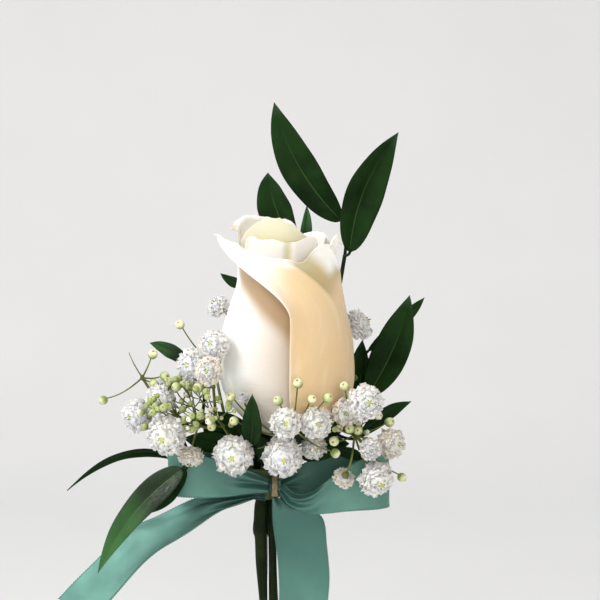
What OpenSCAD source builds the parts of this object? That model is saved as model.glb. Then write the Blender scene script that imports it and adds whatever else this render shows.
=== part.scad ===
// Boutonniere: a cream rose with baby's breath, ruscus leaves and a satin bow, on a pearl-headed pin.
// Frame: +X to the right as seen from the front, -Y forward, +Z up.
// The origin is on the pin's axis, level with the lower face of the binding.

/* [Rose] */
// Width of the rose where it is widest
rose_d = 40; // [37:0.5:43]
// Height that the petals' heights are shares of; the tallest rim stands a little above it
rose_h = 64; // [60:0.5:70]
// Height of the petals' foot above the lower face of the binding
neck_h = 18; // [17:0.5:20]
// Distance of the rose's axis to the right of the pin
rose_side = 6; // [5:0.5:7]
// Thickness of a petal
petal_t = 0.7; // [0.5:0.05:0.9]
// Clearance between one petal and the next
petal_gap = 0.8; // [0.6:0.05:1]
// Radius that a petal's lip rolls back by
lip_r = 1.5; // [1:0.1:2]

/* [Leaves] */
// Length that the ruscus leaves are shares of
leaf_l = 40; // [36:1:44]
// Width that the ruscus leaves are shares of
leaf_w = 12; // [10:0.5:13]
// Thickness of a leaf
leaf_t = 0.8; // [0.6:0.1:1]

/* [Baby's breath] */
// Diameter of a full flower head
head_d = 10; // [9:0.25:10.5]
// Diameter of a closed bud
bud_d = 3; // [2.6:0.1:3.3]
// Thickness of the thin flower stalks
twig_d = 0.8; // [0.6:0.1:1]

/* [Stems] */
// Diameter of the rose's stem
stem_d = 3.8; // [3.4:0.1:4.2]
// Diameter of the second stem below the binding
second_d = 2.4; // [2:0.1:2.6]
// Diameter of each stalk inside the binding
stalk_d = 1.6; // [1.4:0.1:1.8]
// Length of the stems below the binding
stem_l = 36; // [30:1:50]
// Clearance between the stems in the bundle
bundle_gap = 0.3; // [0.2:0.05:0.4]
// Clearance between a stalk's end and the leaf, flower or bud that it carries
seat_gap = 0.15; // [0.1:0.05:0.3]

/* [Binding] */
// Height of the binding tape
wrap_h = 9; // [8:0.5:10]
// Thickness of the wound tape
wrap_t = 1.4; // [1.2:0.1:1.8]

/* [Ribbon] */
// Width of the satin ribbon
ribbon_w = 16; // [15:0.5:17]
// Thickness of the ribbon with its rolled edges
ribbon_t = 1; // [0.8:0.1:1.2]
// Reach of the longer loop from the knot
loop_l = 33; // [30:0.5:36]
// Depth of a loop from its back band to its front band
loop_d = 8; // [7.5:0.25:9]
// Length of the tail that hangs beside the stems
tail_l = 34; // [30:1:46]
// Reach of the tail that hangs to the left
side_tail_l = 62; // [56:1:66]
// Width of the tie round the pinch of the bow
tie_w = 1.5; // [1.2:0.1:2]
// Height of the pinch inside the tie
pinch_h = 4.4; // [4:0.1:5]
// Wall of the tie
tie_t = 0.7; // [0.6:0.05:0.9]
// Clearance between the bow's pieces
bow_gap = 0.3; // [0.2:0.05:0.4]

/* [Pin] */
// Diameter of the pin's neck, the sleeve that keeps it from slipping through the binding
pin_d = 1.1; // [1.05:0.05:1.2]
// Diameter of the pin's free length, which goes through the cloth
shaft_d = 0.7; // [0.5:0.05:0.7]
// Length of the pin below the binding
pin_l = 26; // [20:1:30]
// Length of the pin between the binding and its pearl head
pin_show = 5; // [4:0.5:7]
// Diameter of the pearl head
pearl_d = 4.4; // [4:0.2:5]
// Clearance round the pin in the binding
bore_gap = 0.1; // [0.05:0.05:0.15]
// Wall between the pin and the bundle, and round the pin's bore
pin_wall = 0.65; // [0.6:0.05:1]

/* [Hidden] */
// Columns of a petal's grid and rows of its rolled lip
petal_cols = 8;
lip_rows = 2;
// Stations along a leaf and the shares of its half width where its grid lines run
leaf_rows = 7;
blade = [-1, 0, 1];
// Sides of a flower head, and of a small one
bloom_sides = 9;
small_sides = 8;
// Stations along a ribbon and its grid lines from the lower edge to the upper edge
ribbon_rows = 16;
band = [0, 0.5, 1];

// The bundle inside the binding: the stalks stand in a ring round the rose's stem
ring_r = stem_d / 2 + bundle_gap + second_d / 2;
wrap_in = ring_r + second_d / 2 + bundle_gap;
wrap_out = wrap_in + wrap_t;
pin_off = wrap_in + pin_wall + pin_d / 2 + bore_gap;
bundle_x = -1;
bundle_y = -sqrt(pin_off * pin_off - bundle_x * bundle_x);
// The rose's axis stands in front of the bundle
rose_at = [rose_side, bundle_y - 0.15 * rose_d, neck_h];
petal_pitch = petal_t + petal_gap;
// The pinch of the bow, just in front of the binding
knot_x = 2.7;
tie_back = bundle_y - sqrt(pow(wrap_out, 2) - pow(knot_x - tie_w / 2 - bundle_x, 2)) - bow_gap;
pinch_d = 0.55 * loop_d;
knot = [knot_x, tie_back - tie_t - bow_gap - pinch_d / 2, 0.6 * wrap_h];

// Share of the rose's half width at each share of its height
BODY = [[0, 0.27], [0.12, 0.72], [0.2, 0.91], [0.31, 0.98], [0.47, 0.94], [0.62, 0.83], [0.76, 0.755],
        [1, 0.82]];

// Petals, from the outside in. Degrees run from straight ahead, to the right; the rest are shares.
// name, layer, foot height, rim heights left middle right, left margin and right margin at the foot,
// the waist and the rim, spread of the left and the right corner, curl of the lip left and right, lean in
PETALS = [
    ["petal_front", 0, 0.03, [1.02, 0.88, 0.98], [3, 3, -82], [112, 92, 48], [0.14, 0.03], [60, 35], 0],
    ["petal_left", 1, 0.05, [0.86, 0.84, 0.8], [-165, -150, -128], [24, 22, -6], [0.04, 0], [50, 20], 0],
    ["petal_right", 1, 0.05, [0.95, 0.9, 0.92], [60, 54, 52], [180, 172, 150], [0.03, 0.06], [60, 130], 0],
    ["petal_back_left", 2, 0.07, [0.95, 1.01, 0.98], [-205, -205, -192], [-60, -75, -96], [0.02, 0.02],
        [60, 120], 0],
    ["petal_back", 2, 0.07, [0.93, 0.95, 0.9], [70, 96, 104], [146, 146, 152], [0, 0.02], [30, 60], 0],
    ["petal_inner_front", 3, 0.09, [0.97, 0.97, 0.97], [-96, -84, -56], [70, 60, 44], [0.08, 0.04], [10, 25], 0],
    ["petal_inner_right", 3, 0.09, [0.93, 0.95, 0.94], [84, 74, 58], [215, 200, 170], [0, 0], [20, 60], 0.02],
    ["petal_inner_peak", 4, 0.11, [0.97, 1.05, 0.95], [-120, -110, -84], [110, 90, 66], [0.14, 0], [20, 20], 0.02],
];

// Ruscus leaves. Foot as shares of the rose's width and height; reach and bow as shares of the leaf length.
// name, foot, reach to the tip, bow of the midrib, width share, place of the widest part, roll, fold
LEAVES = [
    ["leaf_top", [0.56, 0.2, 1.25], [-0.5, 0, 0.88], [-0.07, 0.02, -0.03], 0.95, 0.45, 12, 8],
    ["leaf_top_right", [0.62, 0.12, 1.11], [0.35, -0.02, 0.89], [-0.07, 0.03, 0.02], 1.1, 0.45, -10, 30],
    ["leaf_back_left", [0.2, 0.31, 1.12], [-0.19, 0, 0.56], [-0.04, 0.02, 0.02], 0.95, 0.45, 20, 14],
    ["leaf_back_spike", [0.27, 0.25, 1.1], [0.03, 0.02, 0.35], [0.01, 0, 0], 0.32, 0.4, -15, 20],
    ["leaf_side_left", [-0.16, 0.2, 0.95], [-0.19, 0.05, 0.08], [0, 0, -0.02], 0.28, 0.4, 10, 10],
    ["leaf_right", [0.75, -0.08, 0.46], [0.3, -0.04, 0.76], [0.04, 0, -0.01], 0.95, 0.45, 18, 18],
    ["leaf_right_arch", [0.76, 0.14, 0.64], [0.42, 0, 0.41], [0.04, 0, 0.02], 0.34, 0.5, 25, 14],
    ["leaf_right_folded", [0.675, 0.04, 0.38], [0.04, 0.02, 0.52], [0.01, 0, 0], 0.75, 0.45, 20, 38],
    ["leaf_right_low", [0.69, -0.24, 0.29], [0.37, -0.03, 0.27], [0, 0, 0.04], 0.42, 0.45, -20, 12],
    ["leaf_under_rose", [0.43, -0.34, 0.25], [0.36, -0.05, -0.1], [0, 0, 0.03], 0.4, 0.5, -30, 14],
    ["leaf_left_high", [-0.54, -0.15, 0.61], [-0.31, 0, 0.17], [0, 0, 0.03], 0.42, 0.45, 20, 14],
    ["leaf_left_arch", [-0.66, -0.235, 0.185], [-0.8, -0.06, -0.23], [0, 0, 0.145], 0.3, 0.25, 35, 12],
    ["leaf_left_big", [-0.59, -0.52, 0.19], [-0.63, 0, -0.79], [-0.055, -0.03, 0.05], 0.72, 0.25, -22, 16],
    ["leaf_left_second", [-0.57, -0.48, 0.18], [-0.25, 0.01, -0.33], [0, 0, 0], 0.5, 0.5, -20, 10],
    ["leaf_front", [-0.1, -0.66, 0.32], [0.02, -0.2, 0.42], [0.01, -0.03, 0], 0.5, 0.4, 12, 18],
];

// Stems of the greenery. name, slot in the bundle in degrees, points up the stem, leaves on it and the
// number of the point that each one leaves from. Points are shares of the rose's width and height.
RUSCUS = [
    ["ruscus_top", 80, [[0.2, 0.06, 0.32], [0.45, 0.2, 0.62], [0.54, 0.21, 0.92], [0.585, 0.2, 1.09]],
        [["leaf_top", 3], ["leaf_top_right", 3]]],
    ["ruscus_back", 118, [[-0.15, 0.03, 0.31], [-0.12, 0.22, 0.64], [0.08, 0.27, 0.9]],
        [["leaf_back_left", 2], ["leaf_back_spike", 2], ["leaf_side_left", 1]]],
    ["ruscus_right", 316, [[0.3, -0.17, 0.24], [0.52, -0.1, 0.28], [0.62, 0.1, 0.33]],
        [["leaf_under_rose", 0], ["leaf_right_low", 1], ["leaf_right", 1], ["leaf_right_arch", 2],
         ["leaf_right_folded", 2]]],
    ["ruscus_left", 156, [[-0.25, -0.14, 0.22], [-0.43, -0.17, 0.28], [-0.47, -0.16, 0.38],
        [-0.63, -0.44, 0.35]],
        [["leaf_left_big", 3], ["leaf_left_second", 3], ["leaf_left_arch", 1], ["leaf_left_high", 2]]],
    ["ruscus_front", 232, [[-0.1, -0.36, 0.26]],
        [["leaf_front", 0]]],
];

// Baby's breath. name, slot in the bundle in degrees, forks of the sprig: the fork it grows from, its place
SPRIGS = [
    ["sprig_left", 194, [[-1, [-0.28, -0.24, 0.33]], [0, [-0.35, -0.5, 0.42]], [0, [-0.48, -0.42, 0.37]],
        [2, [-0.64, -0.36, 0.41]], [3, [-0.78, -0.3, 0.47]], [4, [-0.89, -0.33, 0.58]],
        [1, [-0.36, -0.62, 0.58]], [0, [-0.38, -0.13, 0.6]]]],
    ["sprig_centre", 270, [[-1, [0.04, -0.46, 0.28]], [0, [0.08, -0.6, 0.36]], [1, [0.2, -0.78, 0.42]],
        [0, [0.22, -0.5, 0.24]]]],
    ["sprig_right", 42, [[-1, [0.36, -0.08, 0.29]], [0, [0.55, -0.3, 0.34]], [1, [0.64, -0.48, 0.34]],
        [0, [0.66, -0.12, 0.55]]]],
];

// Flower heads with a node of their own: name, sprig, fork, place, size share, way that it faces
HEADS = [
    ["bloom_2", 0, 6, [-0.35, -0.65, 0.77], 0.92, [-0.3, -0.8, 0.4]],
    ["bloom_3", 0, 6, [-0.51, -0.5, 0.66], 0.98, [-0.5, -0.8, 0.2]],
    ["bloom_5", 0, 4, [-0.93, -0.35, 0.41], 0.98, [-0.6, -0.8, 0]],
    ["bloom_6", 0, 3, [-0.75, -0.52, 0.51], 0.88, [-0.4, -0.8, 0.4]],
    ["bloom_7", 0, 2, [-0.69, -0.69, 0.37], 1.15, [-0.3, -1, -0.1]],
    ["bloom_9", 0, 1, [-0.22, -0.68, 0.28], 1.15, [-0.1, -1, 0]],
    ["bloom_10", 1, 0, [0.13, -0.7, 0.275], 1.15, [0.1, -1, 0]],
    ["bloom_11", 1, 1, [0.15, -0.96, 0.47], 0.88, [0, -1, 0.2]],
    ["bloom_12", 1, 2, [0.36, -0.83, 0.45], 0.92, [0.3, -1, 0.1]],
    ["bloom_14", 2, 2, [0.7, -0.88, 0.55], 1.02, [0.3, -1, 0.2]],
    ["bloom_16", 2, 2, [0.9, -0.58, 0.315], 0.92, [0.7, -0.7, 0.1]],
    ["bloom_18", 2, 2, [0.79, -0.68, 0.17], 1.04, [0.4, -0.9, -0.3]],
    ["bloom_20", 2, 3, [0.68, -0.05, 0.79], 0.95, [0.8, -0.2, 0.5]],
    ["bloom_21", 0, 6, [-0.38, -0.82, 0.68], 0.8, [-0.2, -1, 0.2]],
];
// Small heads: sprig, fork, place, size share, way that it faces
SMALL_HEADS = [
    [0, 7, [-0.35, -0.1, 0.88], 0.7, [-0.6, -0.5, 0.6]],
    [0, 4, [-0.72, -0.32, 0.545], 0.58, [-0.4, -0.9, 0.2]],
    [0, 2, [-0.53, -0.58, 0.255], 0.74, [-0.1, -0.7, -0.7]],
    [1, 3, [0.35, -0.56, 0.295], 0.74, [0.3, -1, -0.1]],
    [2, 2, [0.57, -0.68, 0.475], 0.8, [0.1, -1, 0.1]],
    [2, 2, [0.745, -0.735, 0.315], 0.64, [0.1, -1, 0.1]],
    [2, 2, [0.56, -0.63, 0.165], 0.62, [-0.3, 0.5, -0.7]],
    [1, 1, [-0.145, -0.78, 0.555], 0.34, [-0.2, -0.5, 0.9]],
];
// Closed buds: sprig, fork, place
BUDS = [
    [0, 5, [-1.18, -0.3, 0.47]], [0, 5, [-0.81, -0.35, 0.69]], [0, 5, [-0.72, -0.42, 0.6]],
    [0, 5, [-0.8, -0.41, 0.565]], [0, 7, [-0.615, -0.3, 0.82]], [0, 6, [-0.46, -0.7, 0.59]],
    [0, 6, [-0.62, -0.62, 0.58]], [0, 1, [-0.375, -0.62, 0.4]], [1, 1, [-0.21, -0.74, 0.445]],
    [1, 1, [-0.23, -0.78, 0.56]], [1, 2, [0.1, -0.84, 0.55]], [1, 2, [0.235, -0.86, 0.63]],
    [1, 2, [0.33, -0.9, 0.565]], [1, 2, [0.44, -0.86, 0.565]], [2, 2, [0.56, -0.74, 0.6]],
    [2, 2, [0.6, -0.68, 0.4]], [2, 2, [0.49, -0.72, 0.35]], [2, 2, [0.66, -0.64, 0.385]],
    [1, 2, [0.5, -0.66, 0.285]], [2, 2, [0.89, -0.5, 0.4]], [2, 2, [0.98, -0.56, 0.155]],
];

// Ribbon tables: lower edge, upper edge. Each is the way from the knot as a share of the reach, the way
// forward as a share of the loop depth, and the way up from the knot as a share of the ribbon width.
LOOP_RIGHT = [
    [[0.055, -0.2, -0.12], [0.055, -0.25, 0.06]],
    [[0.115, -0.41, -0.32], [0.19, -0.52, -0.1]],
    [[0.27, -0.6, -0.46], [0.33, -0.64, -0.02]],
    [[0.415, -0.66, -0.44], [0.48, -0.66, 0.22]],
    [[0.65, -0.66, -0.38], [0.69, -0.6, 0.51]],
    [[0.89, -0.48, -0.375], [0.9, -0.43, 0.64]],
    [[1, -0.1, -0.375], [1, -0.1, 0.68]],
    [[0.92, 0.28, -0.36], [0.92, 0.3, 0.64]],
    [[0.62, 0.41, -0.33], [0.62, 0.41, 0.56]],
    [[0.34, 0.36, -0.26], [0.31, 0.35, 0.42]],
    [[0.16, 0.2, -0.17], [0.16, 0.2, 0.26]],
    [[0.055, 0.12, -0.12], [0.055, 0.12, 0.1]],
];
LOOP_LEFT = [
    [[-0.055, -0.2, -0.12], [-0.055, -0.25, 0.14]],
    [[-0.23, -0.22, -0.13], [-0.215, -0.24, 0.3]],
    [[-0.415, -0.3, -0.17], [-0.37, -0.26, 0.44]],
    [[-0.63, -0.3, -0.19], [-0.6, -0.14, 0.56]],
    [[-0.84, -0.18, -0.19], [-0.82, -0.04, 0.66]],
    [[-0.95, 0.13, -0.19], [-0.95, 0.17, 0.7]],
    [[-0.84, 0.35, -0.18], [-0.84, 0.35, 0.66]],
    [[-0.5, 0.41, -0.16], [-0.5, 0.41, 0.52]],
    [[-0.23, 0.25, -0.13], [-0.23, 0.25, 0.3]],
    [[-0.055, 0.12, -0.1], [-0.055, 0.12, 0.12]],
];
// The hanging tail: left edge, right edge. Sideways and forward in ribbon widths, down in tail lengths.
TAIL_RIGHT = [
    [[-0.05, 0.1, 0.11], [0.14, 0.1, 0.11]],
    [[-0.05, 0.14, 0.2], [0.45, 0.14, 0.2]],
    [[-0.04, 0.17, 0.36], [0.86, 0.2, 0.3]],
    [[0.04, 0.18, 0.66], [0.95, 0.24, 0.56]],
    [[0.07, 0.16, 0.9], [1, 0.22, 0.84]],
    [[0.07, 0.15, 1.12], [0.97, 0.2, 1.06]],
];
// The side tail: lower edge, upper edge. Sideways and down in tail reaches, forward in ribbon widths.
TAIL_LEFT = [
    [[-0.045, 0.1, -0.075], [-0.045, 0.08, -0.05]],
    [[-0.12, 0.04, -0.08], [-0.12, 0.12, -0.055]],
    [[-0.28, -0.04, -0.145], [-0.35, 0.3, -0.085]],
    [[-0.44, -0.14, -0.24], [-0.57, 0.45, -0.19]],
    [[-0.61, -0.2, -0.355], [-0.75, 0.48, -0.3]],
    [[-0.85, -0.26, -0.63], [-1.05, 0.4, -0.6]],
];

HEAD_NODES = [for (h = HEADS) h[0]];
PETAL_NODES = [for (p = PETALS) p[0]];
LEAF_NODES = [for (l = LEAVES) l[0]];
STEM_NODES = concat([for (r = RUSCUS) r[0]], [for (s = SPRIGS) s[0]]);

function mix(a, b, t) = a + (b - a) * t;
function unit(v) = v / norm(v);
function cube_of(t) = t * t * t;
// Value on the smooth curve through the rows of a table, t from 0 to 1
function along(rows, t) = let (
    n = len(rows) - 1, i = min(floor(t * n), n - 1), f = t * n - i,
    a = rows[max(i - 1, 0)], b = rows[i], c = rows[i + 1], d = rows[min(i + 2, n)])
    b + 0.5 * f * ((c - a) + f * ((2 * a - 5 * b + 4 * c - d) + f * (3 * b - a - 3 * c + d)));
// Place in the bouquet, given as shares of the rose's width and height
function spot(p) = [p.x * rose_d, p.y * rose_d, p.z * rose_h];
// Place of a stalk's slot in the bundle
function slot(turn, z) = [bundle_x + ring_r * cos(turn), bundle_y + ring_r * sin(turn), z];

// Closed sheet between two grids of points, front and back, given row by row
module sheet(front, back) {
    rows = len(front);
    cols = len(front[0]);
    size = rows * cols;
    function at(i, j) = i * cols + j;
    quads = [for (i = [0 : rows - 2], j = [0 : cols - 2]) [at(i, j), at(i + 1, j), at(i + 1, j + 1), at(i, j + 1)]];
    rim = concat([for (j = [0 : cols - 1]) at(0, j)], [for (i = [1 : rows - 1]) at(i, cols - 1)],
        [for (j = [cols - 2 : -1 : 0]) at(rows - 1, j)], [for (i = [rows - 2 : -1 : 1]) at(i, 0)]);
    faces = concat(
        [for (q = quads) [q[0], q[1], q[2]]], [for (q = quads) [q[0], q[2], q[3]]],
        [for (q = quads) [q[2] + size, q[1] + size, q[0] + size]],
        [for (q = quads) [q[3] + size, q[2] + size, q[0] + size]],
        [for (k = [0 : len(rim) - 1]) let (a = rim[k], b = rim[(k + 1) % len(rim)]) [a, b, b + size]],
        [for (k = [0 : len(rim) - 1]) let (a = rim[k], b = rim[(k + 1) % len(rim)]) [a, b + size, a + size]]);
    polyhedron([for (row = front) for (p = row) p, for (row = back) for (p = row) p], faces);
}

// Solid through rings of points, each ring with the same number of points, closed at both ends
module loft(rings) {
    n = len(rings[0]);
    last = len(rings) - 1;
    walls = [for (i = [0 : last - 1], j = [0 : n - 1]) let (k = (j + 1) % n)
        [i * n + j, i * n + k, (i + 1) * n + k, (i + 1) * n + j]];
    faces = concat(
        [for (q = walls) [q[0], q[1], q[2]]], [for (q = walls) [q[0], q[2], q[3]]],
        [for (j = [1 : n - 2]) [0, j + 1, j]],
        [for (j = [1 : n - 2]) [last * n, last * n + j, last * n + j + 1]]);
    polyhedron([for (ring = rings) for (p = ring) p], faces);
}

// Ring of points across a path at a point, of the radius given
function ring(at, way, r, n) = let (
    w = unit(way), a = unit(cross(w, abs(w.y) < 0.9 ? [0, 1, 0] : [1, 0, 0])), b = cross(w, a))
    [for (k = [0 : n - 1]) at + r * (a * cos(360 * k / n) + b * sin(360 * k / n))];

// Thin branch along a row of points, as joined lengths with round joints
module branch(points, d0, d1) {
    last = len(points) - 1;
    for (i = [0 : last - 1])
        hull() {
            translate(points[i]) sphere(d = mix(d0, d1, i / last), $fn = 4);
            translate(points[i + 1]) sphere(d = mix(d0, d1, (i + 1) / last), $fn = 4);
        }
}
// Points of a stalk that leaves one place and arrives at another along the way given
function arrive(from, to, way, n) = let (pull = norm(to - from) * 0.4)
    [for (k = [0 : n]) let (t = k / n, c = to - unit(way) * pull)
        from * pow(1 - t, 2) + c * 2 * t * (1 - t) + to * t * t];

module rose_stem() {
    foot = [bundle_x, bundle_y, 0];
    r = stem_d / 2;
    // height share below or above the binding, sideways, radius share
    low = [[-1, 0.05, 0.62], [-0.6, -0.57, 0.9], [-0.36, -0.75, 0.97], [-0.3, -1, 1.1], [-0.24, -0.95, 1.05],
        [-0.1, -0.7, 1], [0, 0, 1]];
    path = concat([for (s = low) [foot + [s[1], 0, s[0] * stem_l], r * s[2]]],
        [[foot + [0, 0, wrap_h], r]],
        [for (t = [0.35, 0.6, 0.8]) [mix(foot + [0, 0, wrap_h], rose_at, t) + [0, 0, sin(t * 180) * -1], r]],
        [[rose_at - [0, 0, 1.6], r]]);
    rings = [for (i = [0 : len(path) - 1])
        ring(path[i][0], path[min(i + 1, len(path) - 1)][0] - path[max(i - 1, 0)][0], path[i][1], 10)];
    color("darkolivegreen") loft(rings);
}

module second_stem() {
    top = slot(0, 0);
    r = second_d / 2;
    path = [[top + [-0.35, 0.5, -stem_l * 0.98], r * 1.2], [top + [-0.6, 0.5, -stem_l * 0.6], r],
        [top + [-0.65, 0.4, -stem_l * 0.3], r], [top + [-0.25, 0.2, -stem_l * 0.12], r], [top, r],
        [top + [0, 0, wrap_h - bundle_gap], r]];
    rings = [for (i = [0 : len(path) - 1])
        ring(path[i][0], path[min(i + 1, len(path) - 1)][0] - path[max(i - 1, 0)][0], path[i][1], 8)];
    color("olivedrab") loft(rings);
}

function body_r(share) = lookup(share, BODY) * rose_d / 2;

// The green foot that carries the petals, with five sepals that hold them from outside
module rose_calyx() {
    r = rose_d / 2;
    plug = 0.33 * r;
    top = 0.12 * rose_h;
    first = 15;
    // height share, half turn of the sepal in degrees, way off the petals as a share of their clearance
    sepal = [[0.008, 24, 0], [0.05, 17, 1.2], [0.09, 10, 1.5], [0.125, 2, 2]];
    function blade_at(mid, side, row, inside) = let (
        off = body_r(row[0]) + row[2] * petal_gap + (inside ? 0 : petal_t), turn = mid + side * row[1])
        [off * sin(turn), -off * cos(turn), row[0] * rose_h];
    color("darkolivegreen") translate(rose_at) {
        rotate_extrude($fn = 40)
            polygon([[0, -1.2], [stem_d / 2 + 0.1, -1.2], [0.2 * r, -0.6], [0.3 * r, 0.2], [0.32 * r, 1],
                [plug, 0.03 * rose_h], [plug, top - 0.6], [plug - 0.8, top], [0, top]]);
        for (k = [0 : 4])
            sheet([for (row = sepal) [for (side = blade) blade_at(first + 72 * k, side, row, false)]],
                [for (row = sepal) [for (side = blade) blade_at(first + 72 * k, side, row, true)]]);
    }
}

// Point of a petal: s from its left margin to its right, v from foot to rim, roll along the lip
function petal_point(p, s, v, roll, inside) = let (
    rim = p[3][0] * (1 - s) * (1 - 2 * s) + p[3][1] * 4 * s * (1 - s) + p[3][2] * s * (2 * s - 1),
    top = rim - 0.07 * pow(abs(2 * s - 1), 5) - lip_r / rose_h,
    share = min(max(v, p[2]), v < 1 ? top - 0.02 * (1 - v) : top),
    up = (share - p[2]) / (top - p[2]),
    waist = 0.66,
    low = min(up / waist, 1),
    high = pow(max(up - waist, 0) / (1 - waist), 2),
    left = mix(mix(p[4][0], p[4][1], low), p[4][2], high),
    right = mix(mix(p[5][0], p[5][1], low), p[5][2], high),
    turn = mix(left, right, s),
    spread = (p[6][0] * pow(1 - s, 2) + p[6][1] * s * s) * rose_d / 2 * cube_of(up),
    curl = mix(p[7][0], p[7][1], s) * roll,
    r = body_r(share) - p[1] * petal_pitch + spread - p[8] * rose_d / 2 * cube_of(up)
        + lip_r * (1 - cos(curl)) - (inside ? petal_t * cos(curl) : 0),
    z = share * rose_h + lip_r * sin(curl) + (inside ? petal_t * sin(curl) : 0))
    rose_at + [r * sin(turn), -r * cos(turn), z];

// Rows of every petal stand at the heights of the rows of BODY, so that the petals stay parallel
function petal_grid(p, inside) = concat(
    [for (i = [0 : len(BODY) - 1]) [for (j = [0 : petal_cols])
        petal_point(p, j / petal_cols, i == 0 ? p[2] : BODY[i][0], 0, inside)]],
    [for (i = [1 : lip_rows]) [for (j = [0 : petal_cols])
        petal_point(p, j / petal_cols, 1, i / lip_rows, inside)]]);

module petal(p) {
    color(p[1] > 2 ? "lemonchiffon" : "ivory") sheet(petal_grid(p, false), petal_grid(p, true));
}

// The scroll of small petals in the middle of the rose
module rose_heart() {
    turns = 1.5;
    cols = 18;
    rows = 3;
    foot = 0.14;
    function scroll(t, v, inside) = let (
        share = foot + (0.9 + 0.05 * cos(t * turns * 360 * 1.5) - foot) * v,
        r = (body_r(share) - 5 * petal_pitch) * (1 - 0.72 * t) * (1 - 0.25 * v * v) - (inside ? petal_t : 0),
        turn = -40 + 360 * turns * t)
        rose_at + [r * sin(turn), -r * cos(turn), share * rose_h];
    color("khaki") sheet(
        [for (i = [0 : rows]) [for (j = [0 : cols]) scroll(j / cols, i / rows, false)]],
        [for (i = [0 : rows]) [for (j = [0 : cols]) scroll(j / cols, i / rows, true)]]);
}

function leaf_foot(l) = spot(l[1]);
function leaf_grid(l, drop) = let (foot = leaf_foot(l), reach = l[2] * leaf_l, bow = l[3] * leaf_l * 4)
    [for (i = [0 : leaf_rows]) let (
        t = i / leaf_rows, mid = foot + reach * t + bow * t * (1 - t), way = unit(reach + bow * (1 - 2 * t)),
        flat = unit(cross(way, [0, -1, 0])), up = cross(flat, way),
        side = flat * cos(l[6]) + up * sin(l[6]), face = up * cos(l[6]) - flat * sin(l[6]),
        s = t < l[5] ? t / l[5] : (1 - t) / (1 - l[5]),
        half = max(0.05, pow(s * (2 - s), t < l[5] ? 0.55 : 1)) * l[4] * leaf_w / 2)
        [for (q = blade) mid + side * half * q * cos(l[7]) + face * (half * abs(q) * sin(l[7]) - drop)]];

module leaf(l) {
    color("darkgreen") sheet(leaf_grid(l, 0), leaf_grid(l, leaf_t));
}

// Green stem that climbs from its slot and carries leaves on short stalks
module ruscus(r) {
    up = [for (p = r[2]) spot(p)];
    root = [slot(r[1], 0.5), slot(r[1], wrap_h)];
    color("darkolivegreen") {
        branch(concat(root, up), stalk_d, stalk_d * 0.75);
        for (twig = r[3]) {
            l = LEAVES[search([twig[0]], LEAVES)[0]];
            end = leaf_foot(l) - unit(l[2]) * (stalk_d / 4 + seat_gap);
            branch(arrive(up[twig[1]], end, l[2], 2), stalk_d * 0.6, stalk_d * 0.5);
        }
    }
}

// Outline of a flower head along its own axis: way forward and radius, as shares of its half width
BLOOM = [[-0.86, 0.16], [-0.5, 0.55], [-0.1, 0.97], [0.3, 0.95], [0.6, 0.7], [0.74, 0.3]];

module bloom(place, size, way, sides) {
    f = unit(way);
    r = size * head_d / 2;
    side = unit(cross(f, abs(f.z) < 0.9 ? [0, 0, 1] : [1, 0, 0]));
    up = cross(side, f);
    loft([for (row = BLOOM)
        [for (k = [0 : sides - 1]) let (turn = 360 * k / sides)
            place + f * row[0] * r + row[1] * r * (side * cos(turn) - up * sin(turn))]]);
}
module small_blooms() {
    color("white") for (h = SMALL_HEADS) bloom(spot(h[2]), h[3], h[4], small_sides);
}
module bloom_buds() {
    color("beige") for (b = BUDS) translate(spot(b[2])) sphere(d = bud_d, $fn = 24);
}

// Sprig of baby's breath: its forks, and a thin stalk to the back of each head and bud on it
module sprig(n) {
    s = SPRIGS[n];
    forks = [for (f = s[2]) spot(f[1])];
    root = [slot(s[1], 0.5), slot(s[1], wrap_h)];
    function back(place, size, way) =
        place + unit(way) * (size * head_d / 2 * BLOOM[0][0] - twig_d / 2 - seat_gap);
    heads = concat([for (h = HEADS) if (h[1] == n) [h[2], h[3], h[4], h[5]]],
        [for (h = SMALL_HEADS) if (h[0] == n) [h[1], h[2], h[3], h[4]]]);
    color("olivedrab") {
        for (i = [0 : len(forks) - 1])
            branch(s[2][i][0] < 0 ? concat(root, [forks[i]]) : [forks[s[2][i][0]], forks[i]],
                s[2][i][0] < 0 ? stalk_d : twig_d * 1.25, twig_d * 1.25);
        for (h = heads)
            branch(arrive(forks[h[0]], back(spot(h[1]), h[2], h[3]), h[3], 2), twig_d, twig_d);
        for (b = BUDS) if (b[0] == n) {
            way = unit(spot(b[2]) - forks[b[1]]);
            branch(arrive(forks[b[1]], spot(b[2]) - way * (bud_d / 2 + twig_d / 2 + seat_gap), way, 1),
                twig_d, twig_d * 0.8);
        }
    }
}

// Tape wound round the stems, with a sleeve behind it for the pin
module binding() {
    color("olive") difference() {
        union() {
            translate([bundle_x, bundle_y, 0]) cylinder(r = wrap_out, h = wrap_h, $fn = 64);
            cylinder(r = pin_d / 2 + bore_gap + pin_wall, h = wrap_h, $fn = 40);
        }
        translate([bundle_x, bundle_y, -1]) cylinder(r = wrap_in, h = wrap_h + 2, $fn = 64);
        translate([0, 0, -1]) cylinder(r = pin_d / 2 + bore_gap, h = wrap_h + 2, $fn = 40);
    }
}

// Straight steel pin: a point, a free length for the cloth, a sleeved neck and a pearl head
module lapel_pin() {
    pearl_z = wrap_h + pin_show + pearl_d / 2;
    taper = 5 * shaft_d;
    color("silver") {
        translate([0, 0, -pin_l - taper]) cylinder(d1 = shaft_d * 0.2, d2 = shaft_d, h = taper, $fn = 32);
        translate([0, 0, -pin_l]) cylinder(d = shaft_d, h = pin_l, $fn = 32);
        translate([0, 0, -bow_gap]) cylinder(d = pin_d, h = pearl_z + bow_gap, $fn = 32);
    }
    color("white") translate([0, 0, pearl_z]) sphere(d = pearl_d, $fn = 48);
}

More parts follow.
